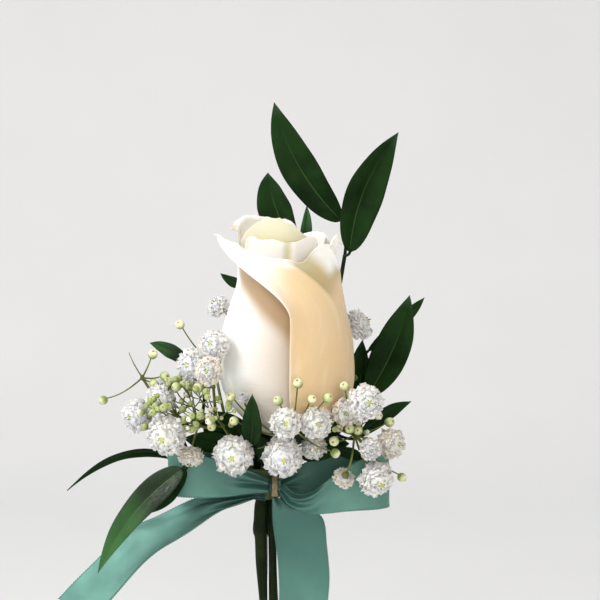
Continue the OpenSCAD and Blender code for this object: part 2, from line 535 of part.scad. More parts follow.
// Flat ring with round ends, as wide as x and as tall as y
module stadium(x, y) {
    r = min(x, y) / 2;
    square([x - 2 * r + 0.02, y], center = true);
    for (side = [-1, 1]) translate([side * (x / 2 - r), 0]) circle(r = r, $fn = 40);
}
module bow_tie() {
    hole = [pinch_d + 2 * bow_gap, pinch_h + 2 * bow_gap];
    color("tan") translate([knot.x - tie_w / 2, knot.y, knot.z]) rotate([90, 0, 90]) linear_extrude(tie_w)
        difference() {
            stadium(hole.x + 2 * tie_t + 0.6, hole.y + 2 * tie_t);
            stadium(hole.x + 0.6, hole.y);
        }
}

// The pinched middle of the ribbon, inside the tie
module ribbon_gather() {
    // way along X as a share of the tie's width, size share
    rows = [[-0.95, 0.95], [-0.3, 0.8], [0.3, 0.8], [0.95, 0.95]];
    color("teal") loft([for (s = rows) [for (k = [0 : 11])
        knot + [s[0] * tie_w, -cos(30 * k) * s[1] * pinch_d / 2 * (k % 2 == 0 ? 1 : 0.86),
            sin(30 * k) * s[1] * pinch_h / 2 * (k % 2 == 0 ? 1 : 0.86)]]]);
}

// Ribbon through a table of its two edges; the ways that its shares are multiplied by come with it
module ribbon(table, from, scales) {
    edges = [for (i = [0 : ribbon_rows]) along(table, i / ribbon_rows)];
    mid = [for (e = edges) [for (b = band) let (p = mix(e[0], e[1], b))
        from + [p.x * scales.x, p.y * scales.y, p.z * scales.z]]];
    last = len(band) - 1;
    function across(i) = unit(mid[i][last] - mid[i][0]);
    function normal(i) = unit(cross(across(i), mid[min(i + 1, ribbon_rows)][1] - mid[max(i - 1, 0)][1]));
    color("teal") sheet(
        [for (i = [0 : ribbon_rows]) [for (p = mid[i]) p + normal(i) * ribbon_t / 2]],
        [for (i = [0 : ribbon_rows]) [for (p = mid[i]) p - normal(i) * ribbon_t / 2]]);
}
module ribbon_loop_right() { ribbon(LOOP_RIGHT, knot, [loop_l, loop_d, ribbon_w]); }
module ribbon_loop_left() { ribbon(LOOP_LEFT, knot, [loop_l, loop_d, ribbon_w]); }
module ribbon_tail_left() { ribbon(TAIL_LEFT, knot, [side_tail_l, ribbon_w, side_tail_l]); }
module ribbon_tail_right() { ribbon(TAIL_RIGHT, knot, [ribbon_w, ribbon_w / 2, -tail_l]); }

rose_stem();
rose_calyx();
rose_heart();
for (p = PETALS) petal(p);
for (l = LEAVES) leaf(l);
for (r = RUSCUS) ruscus(r);
for (n = [0 : len(SPRIGS) - 1]) sprig(n);
for (h = HEADS) color("white") bloom(spot(h[3]), h[4], h[5], bloom_sides);
small_blooms();
bloom_buds();
second_stem();
binding();
lapel_pin();
bow_tie();
ribbon_gather();
ribbon_loop_left();
ribbon_loop_right();
ribbon_tail_left();
ribbon_tail_right();
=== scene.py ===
"""Looks of a rose boutonniere: petals, baby's breath, ruscus leaves, satin bow, wound tape and pearl pin."""

import math
import random

import bmesh
import bpy
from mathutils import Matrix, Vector, noise


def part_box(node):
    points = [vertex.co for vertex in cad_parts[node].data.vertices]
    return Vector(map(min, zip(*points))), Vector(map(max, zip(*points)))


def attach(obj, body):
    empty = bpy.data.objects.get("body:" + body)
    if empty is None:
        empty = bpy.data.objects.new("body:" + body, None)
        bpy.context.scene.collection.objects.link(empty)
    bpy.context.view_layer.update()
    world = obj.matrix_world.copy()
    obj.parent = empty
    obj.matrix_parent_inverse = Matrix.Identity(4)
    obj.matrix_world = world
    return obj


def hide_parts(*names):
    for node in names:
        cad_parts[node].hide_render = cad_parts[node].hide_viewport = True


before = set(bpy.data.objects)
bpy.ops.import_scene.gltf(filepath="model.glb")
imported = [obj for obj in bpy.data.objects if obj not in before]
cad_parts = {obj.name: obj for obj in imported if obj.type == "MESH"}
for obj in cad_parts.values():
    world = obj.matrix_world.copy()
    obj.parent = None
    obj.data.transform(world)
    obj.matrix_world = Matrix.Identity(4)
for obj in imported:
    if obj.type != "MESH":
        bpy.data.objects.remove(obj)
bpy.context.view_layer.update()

MM = 0.001
SURFACE = "surface"

# Sizes of the model, in metres
ROSE_D = 40 * MM
ROSE_H = 64 * MM
NECK_H = 18 * MM
ROSE_SIDE = 6 * MM
PETAL_PITCH = 1.5 * MM
LIP_R = 1.5 * MM
LEAF_L = 40 * MM
LEAF_W = 12 * MM
HEAD_D = 10 * MM
BUD_D = 3 * MM
TWIG_D = 0.8 * MM
STEM_D = 3.8 * MM
SECOND_D = 2.4 * MM
STALK_D = 1.6 * MM
STEM_L = 36 * MM
WRAP_H = 9 * MM
RIBBON_W = 16 * MM
LOOP_L = 33 * MM
LOOP_D = 8 * MM
TAIL_L = 34 * MM
SIDE_TAIL_L = 62 * MM
TIE_W = 1.5 * MM
PINCH_H = 4.4 * MM
PINCH_D = 0.55 * LOOP_D
PIN_D = 1.1 * MM
SHAFT_D = 0.7 * MM
PIN_L = 26 * MM
PIN_SHOW = 5 * MM
PEARL_D = 4.4 * MM

# The bundle in the binding, the rose above it and the knot in front of it
RING_R = 3.4 * MM
WRAP_IN = 4.9 * MM
WRAP_OUT = 6.3 * MM
BUNDLE = Vector((-1 * MM, -math.sqrt((6.2 * MM) ** 2 - MM ** 2), 0))
ROSE_AT = Vector((ROSE_SIDE, BUNDLE.y - 0.15 * ROSE_D, NECK_H))
tie_low, tie_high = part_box("bow_tie")
KNOT = (tie_low + tie_high) / 2

# Share of the rose's half width at each share of its height
BODY = [(0, 0.27), (0.12, 0.72), (0.2, 0.91), (0.31, 0.98), (0.47, 0.94), (0.62, 0.83), (0.76, 0.755),
        (1, 0.82)]

# Petals, from the outside in. Degrees run from straight ahead, to the right; the rest are shares.
# name, layer, foot height, rim heights from left to right, left margin and right margin at the foot,
# the waist and the rim, spread of the left and the right corner, curl of the lip left and right, lean in
PETALS = [
    ("petal_front", 0, 0.03, (1.02, 0.96, 0.935, 0.905, 0.885, 0.877, 0.865, 0.94, 1),
     (3, 3, -82), (112, 92, 48), (0.14, 0.03), (60, 35), 0),
    ("petal_left", 1, 0.05, (0.86, 0.85, 0.84, 0.8),
     (-165, -150, -128), (24, 22, -6), (0.04, 0), (50, 20), 0),
    ("petal_right", 1, 0.05, (1, 0.93, 0.905, 0.9, 0.92),
     (60, 54, 52), (180, 172, 150), (0.03, 0.06), (60, 130), 0),
    ("petal_back_left", 2, 0.07, (1.02, 0.99, 1, 1.015, 1.01, 1.03),
     (-205, -205, -192), (-60, -75, -96), (0.02, 0.02), (60, 120), 0),
    ("petal_back", 2, 0.07, (0.93, 0.95, 0.9),
     (70, 96, 104), (146, 146, 152), (0, 0.02), (30, 60), 0),
    ("petal_inner_front", 3, 0.09, (1.03, 0.972, 0.968, 0.955, 0.968, 1.03),
     (-96, -84, -56), (70, 60, 44), (0.08, 0.04), (10, 25), 0),
    ("petal_inner_right", 3, 0.09, (0.93, 0.95, 0.94),
     (84, 74, 58), (215, 200, 170), (0, 0), (20, 60), 0.02),
    ("petal_inner_peak", 4, 0.11, (1, 1.02, 1.055, 1.03, 0.98, 1),
     (-120, -110, -84), (110, 90, 66), (0.14, 0), (20, 20), 0.02),
]

# Ruscus leaves. Foot as shares of the rose's width and height; reach and bow as shares of the leaf length.
# name, foot, reach to the tip, bow of the midrib, width share, place of the widest part, roll, fold
LEAVES = [
    ("leaf_top", (0.56, 0.2, 1.25), (-0.5, 0, 0.88), (-0.07, 0.02, -0.03), 0.95, 0.45, 12, 8),
    ("leaf_top_right", (0.62, 0.12, 1.11), (0.35, -0.02, 0.89), (-0.07, 0.03, 0.02), 1.1, 0.45, -10, 30),
    ("leaf_back_left", (0.2, 0.31, 1.12), (-0.19, 0, 0.56), (-0.04, 0.02, 0.02), 0.95, 0.45, 20, 14),
    ("leaf_back_spike", (0.27, 0.25, 1.1), (0.03, 0.02, 0.35), (0.01, 0, 0), 0.32, 0.4, -15, 20),
    ("leaf_side_left", (-0.16, 0.2, 0.95), (-0.19, 0.05, 0.08), (0, 0, -0.02), 0.28, 0.4, 10, 10),
    ("leaf_right", (0.75, -0.08, 0.46), (0.3, -0.04, 0.76), (0.04, 0, -0.01), 0.95, 0.45, 18, 18),
    ("leaf_right_arch", (0.76, 0.14, 0.64), (0.42, 0, 0.41), (0.04, 0, 0.02), 0.34, 0.5, 25, 14),
    ("leaf_right_folded", (0.675, 0.04, 0.38), (0.04, 0.02, 0.52), (0.01, 0, 0), 0.75, 0.45, 20, 38),
    ("leaf_right_low", (0.69, -0.24, 0.29), (0.37, -0.03, 0.27), (0, 0, 0.04), 0.42, 0.45, -20, 12),
    ("leaf_under_rose", (0.43, -0.34, 0.25), (0.36, -0.05, -0.1), (0, 0, 0.03), 0.4, 0.5, -30, 14),
    ("leaf_left_high", (-0.54, -0.15, 0.61), (-0.31, 0, 0.17), (0, 0, 0.03), 0.42, 0.45, 20, 14),
    ("leaf_left_arch", (-0.66, -0.235, 0.185), (-0.8, -0.06, -0.23), (0, 0, 0.145), 0.3, 0.25, 35, 12),
    ("leaf_left_big", (-0.59, -0.52, 0.19), (-0.63, 0, -0.79), (-0.055, -0.03, 0.05), 0.72, 0.25, -22, 16),
    ("leaf_left_second", (-0.57, -0.48, 0.18), (-0.25, 0.01, -0.33), (0, 0, 0), 0.5, 0.5, -20, 10),
    ("leaf_front", (-0.1, -0.66, 0.32), (0.02, -0.2, 0.42), (0.01, -0.03, 0), 0.5, 0.4, 12, 18),
]

# Stems of the greenery. name, slot in the bundle in degrees, points up the stem, leaves on it and the
# number of the point that each one leaves from. Points are shares of the rose's width and height.
RUSCUS = [
    ("ruscus_top", 80, [(0.2, 0.06, 0.32), (0.45, 0.2, 0.62), (0.54, 0.21, 0.92), (0.585, 0.2, 1.09)],
     [("leaf_top", 3), ("leaf_top_right", 3)]),
    ("ruscus_back", 118, [(-0.15, 0.03, 0.31), (-0.12, 0.22, 0.64), (0.08, 0.27, 0.9)],
     [("leaf_back_left", 2), ("leaf_back_spike", 2), ("leaf_side_left", 1)]),
    ("ruscus_right", 316, [(0.3, -0.17, 0.24), (0.52, -0.1, 0.28), (0.62, 0.1, 0.33)],
     [("leaf_under_rose", 0), ("leaf_right_low", 1), ("leaf_right", 1), ("leaf_right_arch", 2),
      ("leaf_right_folded", 2)]),
    ("ruscus_left", 156, [(-0.25, -0.14, 0.22), (-0.43, -0.17, 0.28), (-0.47, -0.16, 0.38),
     (-0.63, -0.44, 0.35)],
     [("leaf_left_big", 3), ("leaf_left_second", 3), ("leaf_left_arch", 1), ("leaf_left_high", 2)]),
    ("ruscus_front", 232, [(-0.1, -0.36, 0.26)], [("leaf_front", 0)]),
]

# Baby's breath. name, slot in the bundle in degrees, forks of the sprig: the fork it grows from, its place
SPRIGS = [
    ("sprig_left", 194, [(-1, (-0.28, -0.24, 0.33)), (0, (-0.35, -0.5, 0.42)), (0, (-0.48, -0.42, 0.37)),
     (2, (-0.64, -0.36, 0.41)), (3, (-0.78, -0.3, 0.47)), (4, (-0.89, -0.33, 0.58)),
     (1, (-0.36, -0.62, 0.58)), (0, (-0.38, -0.13, 0.6))]),
    ("sprig_centre", 270, [(-1, (0.04, -0.46, 0.28)), (0, (0.08, -0.6, 0.36)), (1, (0.2, -0.78, 0.42)),
     (0, (0.22, -0.5, 0.24))]),
    ("sprig_right", 42, [(-1, (0.36, -0.08, 0.29)), (0, (0.55, -0.3, 0.34)), (1, (0.64, -0.48, 0.34)),
     (0, (0.66, -0.12, 0.55))]),
]

# Flower heads with a node of their own: name, sprig, fork, place, size share, way that it faces
HEADS = [
    ("bloom_2", 0, 6, (-0.35, -0.65, 0.77), 0.92, (-0.3, -0.8, 0.4)),
    ("bloom_3", 0, 6, (-0.51, -0.5, 0.66), 0.98, (-0.5, -0.8, 0.2)),
    ("bloom_5", 0, 4, (-0.93, -0.35, 0.41), 0.98, (-0.6, -0.8, 0)),
    ("bloom_6", 0, 3, (-0.75, -0.52, 0.51), 0.88, (-0.4, -0.8, 0.4)),
    ("bloom_7", 0, 2, (-0.69, -0.69, 0.37), 1.15, (-0.3, -1, -0.1)),
    ("bloom_9", 0, 1, (-0.22, -0.68, 0.28), 1.15, (-0.1, -1, 0)),
    ("bloom_10", 1, 0, (0.13, -0.7, 0.275), 1.15, (0.1, -1, 0)),
    ("bloom_11", 1, 1, (0.15, -0.96, 0.47), 0.88, (0, -1, 0.2)),
    ("bloom_12", 1, 2, (0.36, -0.83, 0.45), 0.92, (0.3, -1, 0.1)),
    ("bloom_14", 2, 2, (0.7, -0.88, 0.55), 1.02, (0.3, -1, 0.2)),
    ("bloom_16", 2, 2, (0.9, -0.58, 0.315), 0.92, (0.7, -0.7, 0.1)),
    ("bloom_18", 2, 2, (0.79, -0.68, 0.17), 1.04, (0.4, -0.9, -0.3)),
    ("bloom_20", 2, 3, (0.68, -0.05, 0.79), 0.95, (0.8, -0.2, 0.5)),
    ("bloom_21", 0, 6, (-0.38, -0.82, 0.68), 0.8, (-0.2, -1, 0.2)),
]
# Small heads: sprig, fork, place, size share, way that it faces
SMALL_HEADS = [
    (0, 7, (-0.35, -0.1, 0.88), 0.7, (-0.6, -0.5, 0.6)),
    (0, 4, (-0.72, -0.32, 0.545), 0.58, (-0.4, -0.9, 0.2)),
    (0, 2, (-0.53, -0.58, 0.255), 0.74, (-0.1, -0.7, -0.7)),
    (1, 3, (0.35, -0.56, 0.295), 0.74, (0.3, -1, -0.1)),
    (2, 2, (0.57, -0.68, 0.475), 0.8, (0.1, -1, 0.1)),
    (2, 2, (0.745, -0.735, 0.315), 0.64, (0.1, -1, 0.1)),
    (2, 2, (0.56, -0.63, 0.165), 0.62, (-0.3, 0.5, -0.7)),
    (1, 1, (-0.145, -0.78, 0.555), 0.34, (-0.2, -0.5, 0.9)),
]
# Closed buds: sprig, fork, place
BUDS = [
    (0, 5, (-1.18, -0.3, 0.47)), (0, 5, (-0.81, -0.35, 0.69)), (0, 5, (-0.72, -0.42, 0.6)),
    (0, 5, (-0.8, -0.41, 0.565)), (0, 7, (-0.615, -0.3, 0.82)), (0, 6, (-0.46, -0.7, 0.59)),
    (0, 6, (-0.62, -0.62, 0.58)), (0, 1, (-0.375, -0.62, 0.4)), (1, 1, (-0.21, -0.74, 0.445)),
    (1, 1, (-0.23, -0.78, 0.56)), (1, 2, (0.1, -0.84, 0.55)), (1, 2, (0.235, -0.86, 0.63)),
    (1, 2, (0.33, -0.9, 0.565)), (1, 2, (0.44, -0.86, 0.565)), (2, 2, (0.56, -0.74, 0.6)),
    (2, 2, (0.6, -0.68, 0.4)), (2, 2, (0.49, -0.72, 0.35)), (2, 2, (0.66, -0.64, 0.385)),
    (1, 2, (0.5, -0.66, 0.285)), (2, 2, (0.89, -0.5, 0.4)), (2, 2, (0.98, -0.56, 0.155)),
]
# Bare strands that end without a flower: sprig, fork, end
BARE_STRANDS = [
    (0, 5, (-0.98, -0.36, 0.7)), (0, 3, (-0.5, -0.55, 0.52)), (0, 6, (-0.3, -0.7, 0.7)),
    (0, 2, (-0.55, -0.3, 0.56)), (0, 4, (-0.66, -0.45, 0.58)), (1, 1, (-0.05, -0.62, 0.3)),
    (2, 2, (0.5, -0.85, 0.44)),
]

# Ribbon tables: lower edge, upper edge. Each is the way from the knot as a share of the reach, the way
# forward as a share of the loop depth, and the way up from the knot as a share of the ribbon width.
LOOP_RIGHT = [
    ((0.055, -0.2, -0.12), (0.055, -0.25, 0.06)),
    ((0.115, -0.41, -0.32), (0.19, -0.52, -0.1)),
    ((0.27, -0.6, -0.46), (0.33, -0.64, -0.02)),
    ((0.415, -0.66, -0.44), (0.48, -0.66, 0.22)),
    ((0.65, -0.66, -0.38), (0.69, -0.6, 0.51)),
    ((0.89, -0.48, -0.375), (0.9, -0.43, 0.64)),
    ((1, -0.1, -0.375), (1, -0.1, 0.68)),
    ((0.92, 0.28, -0.36), (0.92, 0.3, 0.64)),
    ((0.62, 0.41, -0.33), (0.62, 0.41, 0.56)),
    ((0.34, 0.36, -0.26), (0.31, 0.35, 0.42)),
    ((0.16, 0.2, -0.17), (0.16, 0.2, 0.26)),
    ((0.055, 0.12, -0.12), (0.055, 0.12, 0.1)),
]
LOOP_LEFT = [
    ((-0.055, -0.2, -0.12), (-0.055, -0.25, 0.14)),
    ((-0.23, -0.22, -0.13), (-0.215, -0.24, 0.3)),
    ((-0.415, -0.3, -0.17), (-0.37, -0.26, 0.44)),
    ((-0.63, -0.3, -0.19), (-0.6, -0.14, 0.56)),
    ((-0.84, -0.18, -0.19), (-0.82, -0.04, 0.66)),
    ((-0.95, 0.13, -0.19), (-0.95, 0.17, 0.7)),
    ((-0.84, 0.35, -0.18), (-0.84, 0.35, 0.66)),
    ((-0.5, 0.41, -0.16), (-0.5, 0.41, 0.52)),
    ((-0.23, 0.25, -0.13), (-0.23, 0.25, 0.3)),
    ((-0.055, 0.12, -0.1), (-0.055, 0.12, 0.12)),
]
# The hanging tail: left edge, right edge. Sideways and forward in ribbon widths, down in tail lengths.
TAIL_RIGHT = [
    ((-0.05, 0.1, 0.11), (0.14, 0.1, 0.11)),
    ((-0.05, 0.14, 0.2), (0.45, 0.14, 0.2)),
    ((-0.04, 0.17, 0.36), (0.86, 0.2, 0.3)),
    ((0.04, 0.18, 0.66), (0.95, 0.24, 0.56)),
    ((0.07, 0.16, 0.9), (1, 0.22, 0.84)),
    ((0.07, 0.15, 1.12), (0.97, 0.2, 1.06)),
]
# The side tail: lower edge, upper edge. Sideways and down in tail reaches, forward in ribbon widths.
TAIL_LEFT = [
    ((-0.045, 0.1, -0.075), (-0.045, 0.08, -0.05)),
    ((-0.12, 0.04, -0.08), (-0.12, 0.12, -0.055)),
    ((-0.28, -0.04, -0.145), (-0.35, 0.3, -0.085)),
    ((-0.44, -0.14, -0.24), (-0.57, 0.45, -0.19)),
    ((-0.61, -0.2, -0.355), (-0.75, 0.48, -0.3)),
    ((-0.85, -0.26, -0.63), (-1.05, 0.4, -0.6)),
]


def mix(a, b, t):
    return a + (b - a) * t


def clamp(x, low=0.0, high=1.0):
    return max(low, min(high, x))


def ease(x, low, high):
    """0 below low, 1 above high and a smooth rise between them."""
    t = clamp((x - low) / (high - low))
    return t * t * (3 - 2 * t)


def rough(x, y=0.0, z=0.0):
    """Smooth noise from about -1 to 1."""
    return noise.noise(Vector((x, y, z)))


def smooth(rows, x):
    """Value at x on the smooth curve through rows of (place, value)."""
    last = len(rows) - 1
    i = next((k for k in range(last) if rows[k + 1][0] >= x), last - 1)

    def slope(k):
        low, high = rows[max(k - 1, 0)], rows[min(k + 1, last)]
        return (high[1] - low[1]) / (high[0] - low[0])
    (x0, y0), (x1, y1) = rows[i], rows[i + 1]
    width = x1 - x0
    t = clamp((x - x0) / width)
    return ((1 + 2 * t) * (1 - t) ** 2 * y0 + t * (1 - t) ** 2 * width * slope(i)
            + t * t * (3 - 2 * t) * y1 + t * t * (t - 1) * width * slope(i + 1))


def along(rows, t):
    """Point on the smooth curve through the rows of a table, t from 0 to 1."""
    last = len(rows) - 1
    i = min(int(t * last), last - 1)
    f = t * last - i
    a, b, c, d = (rows[max(i - 1, 0)], rows[i], rows[i + 1], rows[min(i + 2, last)])
    return b + 0.5 * f * ((c - a) + f * ((2 * a - 5 * b + 4 * c - d) + f * (3 * b - a - 3 * c + d)))


def spot(p):
    """Place in the bouquet, given as shares of the rose's width and height."""
    return Vector((p[0] * ROSE_D, p[1] * ROSE_D, p[2] * ROSE_H))


def bundle_slot(turn, z):
    """Place of a stalk's slot in the bundle."""
    a = math.radians(turn)
    return BUNDLE + Vector((RING_R * math.cos(a), RING_R * math.sin(a), z))


def round_rose(r, turn, z):
    """Place at a distance from the rose's axis, turned from straight ahead to the right."""
    return ROSE_AT + Vector((r * math.sin(turn), -r * math.cos(turn), z))


def once_round(count):
    """Evenly spaced angles over one turn."""
    return [math.tau * k / count for k in range(count)]


def swing(first, second, angle):
    """The first direction, turned by an angle towards the second."""
    return first * math.cos(angle) + second * math.sin(angle)


def flow(points, steps):
    """Smooth path through points, with steps between each two."""
    count = (len(points) - 1) * steps
    return [along(points, i / count) for i in range(count + 1)]


def arrive(start, end, way, steps):
    """Path that leaves one place and arrives at another along the way given."""
    pull = (end - start).length * 0.4
    turn = end - Vector(way).normalized() * pull
    return [start * (1 - t) ** 2 + turn * 2 * t * (1 - t) + end * t * t for t in
            (k / steps for k in range(steps + 1))]


def tapered(path, first, last):
    """Radii along a path from its first to its last diameter."""
    return [mix(first, last, i / (len(path) - 1)) / 2 for i in range(len(path))]


def two_sides(rows):
    """Front and back grids of a thin piece, from rows of middle points, each with the way to its front."""
    return [[[point + side * way for point, way in row] for row in rows] for side in (1, -1)]


# Width of a surface coordinate: just under 1, so that whole numbers tell petals or buds apart
SPAN = 0.999
# Points closer than this are one point where a piece is joined to its own start
JOIN_GAP = 0.0001 * MM


class Shape:
    """Points, faces and surface coordinates of one piece, gathered before its mesh is made."""

    def __init__(self):
        self.points = []
        self.faces = []
        self.corners = []
        self.slots = []

    def face(self, corners, surface, slot=0, turned=False):
        """One face with its surface coordinates; a turned one runs the other way round."""
        step = -1 if turned else 1
        self.faces.append(corners[::step])
        self.corners.extend(surface[::step])
        self.slots.append(slot)

    def grid(self, rows, closed=False, turned=False, slot=0, u0=0.0, v0=0.0, v1=1.0):
        """Quads over rows of points; closed joins the end of each row to its start."""
        start = len(self.points)
        count = len(rows[0])
        for row in rows:
            self.points.extend(row)
        across = count if closed else count - 1
        for i in range(len(rows) - 1):
            low, high = (mix(v0, v1, k / (len(rows) - 1)) for k in (i, i + 1))
            for j in range(across):
                k = (j + 1) % count
                left, right = (u0 + n / across * SPAN for n in (j, j + 1))
                quad = [start + i * count + j, start + i * count + k,
                        start + (i + 1) * count + k, start + (i + 1) * count + j]
                self.face(quad, [(left, low), (right, low), (right, high), (left, high)], slot, turned)
        return start

    def cap(self, start, count, turned=False, slot=0, u0=0.0, v=0.0):
        """Fan that closes a ring of points."""
        middle = len(self.points)
        self.points.append(sum(self.points[start:start + count], Vector()) / count)
        for k in range(count):
            left, right = (u0 + n / count * SPAN for n in (k, k + 1))
            self.face([middle, start + k, start + (k + 1) % count], [(u0 + 0.5, v), (left, v), (right, v)],
                      slot, turned)

    def solid(self, rings, slot=0, u0=0.0, v0=0.0, v1=1.0, tip=None):
        """Closed form over rings of points, with a fan at each end. tip is the surface coordinate of the last
        fan where it isn't v1."""
        sides = len(rings[0])
        start = self.grid(rings, closed=True, slot=slot, u0=u0, v0=v0, v1=v1)
        self.cap(start, sides, turned=True, slot=slot, u0=u0, v=v0)
        self.cap(start + sides * (len(rings) - 1), sides, slot=slot, u0=u0, v=v1 if tip is None else tip)

    def sheet(self, front, back, slot=0, back_slot=None, u0=0.0, v1=1.0):
        """Thin closed wall between two grids of points."""
        a = self.grid(front, slot=slot, u0=u0, v1=v1)
        b = self.grid(back, turned=True, slot=slot if back_slot is None else back_slot, u0=u0, v1=v1)
        rows, count = len(front), len(front[0])
        rim = ([(0, j) for j in range(count)] + [(i, count - 1) for i in range(1, rows)]
               + [(rows - 1, j) for j in range(count - 2, -1, -1)] + [(i, 0) for i in range(rows - 2, 0, -1)])
        for k, here in enumerate(rim):
            ends = (here, rim[(k + 1) % len(rim)])
            first, second = (i * count + j for i, j in ends)
            near, far = ((u0 + j / (count - 1) * SPAN, v1 * i / (rows - 1)) for i, j in ends)
            self.face([a + second, a + first, b + first, b + second], [far, near, near, far], slot)

    def wall(self, rows, cols, point, u0=0.0):
        """Thin closed wall; point(along, across, behind) gives a place on its front or its back."""
        self.sheet(*([[point(i / rows, j / cols, behind) for j in range(cols + 1)] for i in range(rows + 1)]
                     for behind in (False, True)), u0=u0)

    def tube(self, path, radii, sides, slot=0, u0=0.0):
        """Round bar along a path with a radius at each point, closed at both ends."""
        rings = []
        side = None
        for i, point in enumerate(path):
            way = (path[min(i + 1, len(path) - 1)] - path[max(i - 1, 0)]).normalized()
            if side is None:
                side = way.orthogonal().normalized()
            side = (side - way * side.dot(way)).normalized()
            other = way.cross(side)
            rings.append([point + radii[i] * swing(side, other, a) for a in once_round(sides)])
        self.solid(rings, slot=slot, u0=u0)

    def make(self, name, *materials, joined=False):
        """Mesh object of the gathered faces, smooth and with its faces turned outward. joined makes one point
        of those that lie in one place."""
        mesh = bpy.data.meshes.new(name)
        mesh.from_pydata(self.points, [], self.faces)
        layer = mesh.uv_layers.new(name=SURFACE)
        layer.data.foreach_set("uv", [x for corner in self.corners for x in corner])
        mesh.polygons.foreach_set("material_index", self.slots)
        mesh.polygons.foreach_set("use_smooth", [True] * len(self.faces))
        for material in materials:
            mesh.materials.append(material)
        body = bmesh.new()
        body.from_mesh(mesh)
        if joined:
            bmesh.ops.remove_doubles(body, verts=body.verts, dist=JOIN_GAP)
        bmesh.ops.recalc_face_normals(body, faces=body.faces)
        body.to_mesh(mesh)
        body.free()
        piece = bpy.data.objects.new(name, mesh)
        bpy.context.scene.collection.objects.link(piece)
        return piece


def fit(piece, slot, *nodes):
    """The piece rides on the one body and stands for the nodes named, if any. The slot is not used."""
    if nodes:
        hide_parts(*nodes)
    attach(piece, "root")
    return piece


# Node groups that several materials share

FLOAT, COLOUR = "NodeSocketFloat", "NodeSocketColor"
WHITE = (1, 1, 1, 1)


def new_group(name, inputs, outputs):
    """Empty shader node group with its named sockets; returns the tree, its inputs and its outputs."""
    tree = bpy.data.node_groups.new(name, "ShaderNodeTree")
    for title, kind, value in inputs:
        socket = tree.interface.new_socket(title, in_out="INPUT", socket_type=kind)
        socket.default_value = value
    for title, kind in outputs:
        tree.interface.new_socket(title, in_out="OUTPUT", socket_type=kind)
    return tree, tree.nodes.new("NodeGroupInput").outputs, tree.nodes.new("NodeGroupOutput").inputs


def feed(tree, socket, value):
    """Sets a socket to a value, or links it where the value is another node's output."""
    if isinstance(value, bpy.types.NodeSocket):
        tree.links.new(value, socket)
    else:
        socket.default_value = value


def add(tree, kind, **settings):
    """Node with its settings; a setting whose name is a socket's is set or linked there."""
    node = tree.nodes.new(kind)
    for key, value in settings.items():
        title = key.replace("_", " ")
        socket = next((s for s in node.inputs if s.name.lower() == title and s.enabled), None)
        if socket is None:
            setattr(node, key, value)
        else:
            feed(tree, socket, value)
    return node


def use(tree, group, **values):
    """Outputs of a node group placed with its values, by input name in small letters."""
    return add(tree, "ShaderNodeGroup", node_tree=group, **values).outputs


def math_node(tree, operation, *values):
    """Output of a Math node with its operands, which are numbers or sockets."""
    node = add(tree, "ShaderNodeMath", operation=operation)
    for socket, value in zip(node.inputs, values):
        feed(tree, socket, value)
    return node.outputs[0]


def product(tree, *values):
    """Output of numbers or sockets multiplied together."""
    result = values[0]
    for value in values[1:]:
        result = math_node(tree, "MULTIPLY", result, value)
    return result


def blend_colour(tree, share, first, second):
    """Output colour between two colours, which are values or sockets."""
    node = add(tree, "ShaderNodeMix", data_type="RGBA")
    for number, value in ((0, share), (6, first), (7, second)):
        feed(tree, node.inputs[number], value)
    return node.outputs[2]


def ramp(tree, value, low, high):
    """0 to 1 as the value goes from low to high, clamped."""
    return add(tree, "ShaderNodeMapRange", interpolation_type="SMOOTHSTEP", value=value, from_min=low,
               from_max=high).outputs[0]


def surface_axes(tree):
    """The two surface coordinates: across and along."""
    place = add(tree, "ShaderNodeUVMap", uv_map=SURFACE).outputs[0]
    return add(tree, "ShaderNodeSeparateXYZ", vector=place).outputs[:2]


def object_place(tree):
    """Place on the object's own axes, in metres."""
    return tree.nodes.new("ShaderNodeTexCoord").outputs["Object"]


def from_left(tree):
    """Way from left to right over the object, in metres from its origin."""
    return add(tree, "ShaderNodeSeparateXYZ", vector=object_place(tree)).outputs[0]


def from_middle(tree, across):
    """Way from the middle line of a piece to either margin, 0 to 0.5."""
    return math_node(tree, "ABSOLUTE", math_node(tree, "SUBTRACT", across, 0.5))


def pick_by_number(tree, across):
    """Random value from 0 to 1 for each whole number across the surface."""
    pick = add(tree, "ShaderNodeTexWhiteNoise", noise_dimensions="1D")
    tree.links.new(math_node(tree, "FLOOR", across), pick.inputs["W"])
    return pick.outputs["Value"]


def mottle_group():
    """Cloudy change of colour over a surface, at a scale per metre."""
    tree, given, result = new_group(
        "mottle", [("Colour", COLOUR, WHITE), ("Other", COLOUR, WHITE), ("Scale", FLOAT, 200.0),
                   ("Amount", FLOAT, 0.5)], [("Colour", COLOUR), ("Mask", FLOAT)])
    cloud = add(tree, "ShaderNodeTexNoise", vector=object_place(tree), scale=given["Scale"], detail=3.0)
    mask = product(tree, ramp(tree, cloud.outputs[0], 0.35, 0.68), given["Amount"])
    tree.links.new(blend_colour(tree, mask, given["Colour"], given["Other"]), result["Colour"])
    tree.links.new(mask, result["Mask"])
    return tree


def ribs_group():
    """Fine lines that run along a piece, such as fibres or threads, as a height."""
    tree, given, result = new_group(
        "ribs", [("Count", FLOAT, 20.0), ("Wander", FLOAT, 0.3), ("Wander Scale", FLOAT, 4.0)],
        [("Height", FLOAT)])
    across, length = surface_axes(tree)
    place = add(tree, "ShaderNodeCombineXYZ", x=across, y=length).outputs[0]
    drift = add(tree, "ShaderNodeTexNoise", vector=place, scale=given["Wander Scale"], detail=2.0)
    moved = math_node(tree, "MULTIPLY_ADD", drift.outputs[0], given["Wander"], across)
    wave = math_node(tree, "SINE", product(tree, moved, given["Count"], math.tau))
    tree.links.new(math_node(tree, "MULTIPLY_ADD", wave, 0.5, 0.5), result["Height"])
    return tree


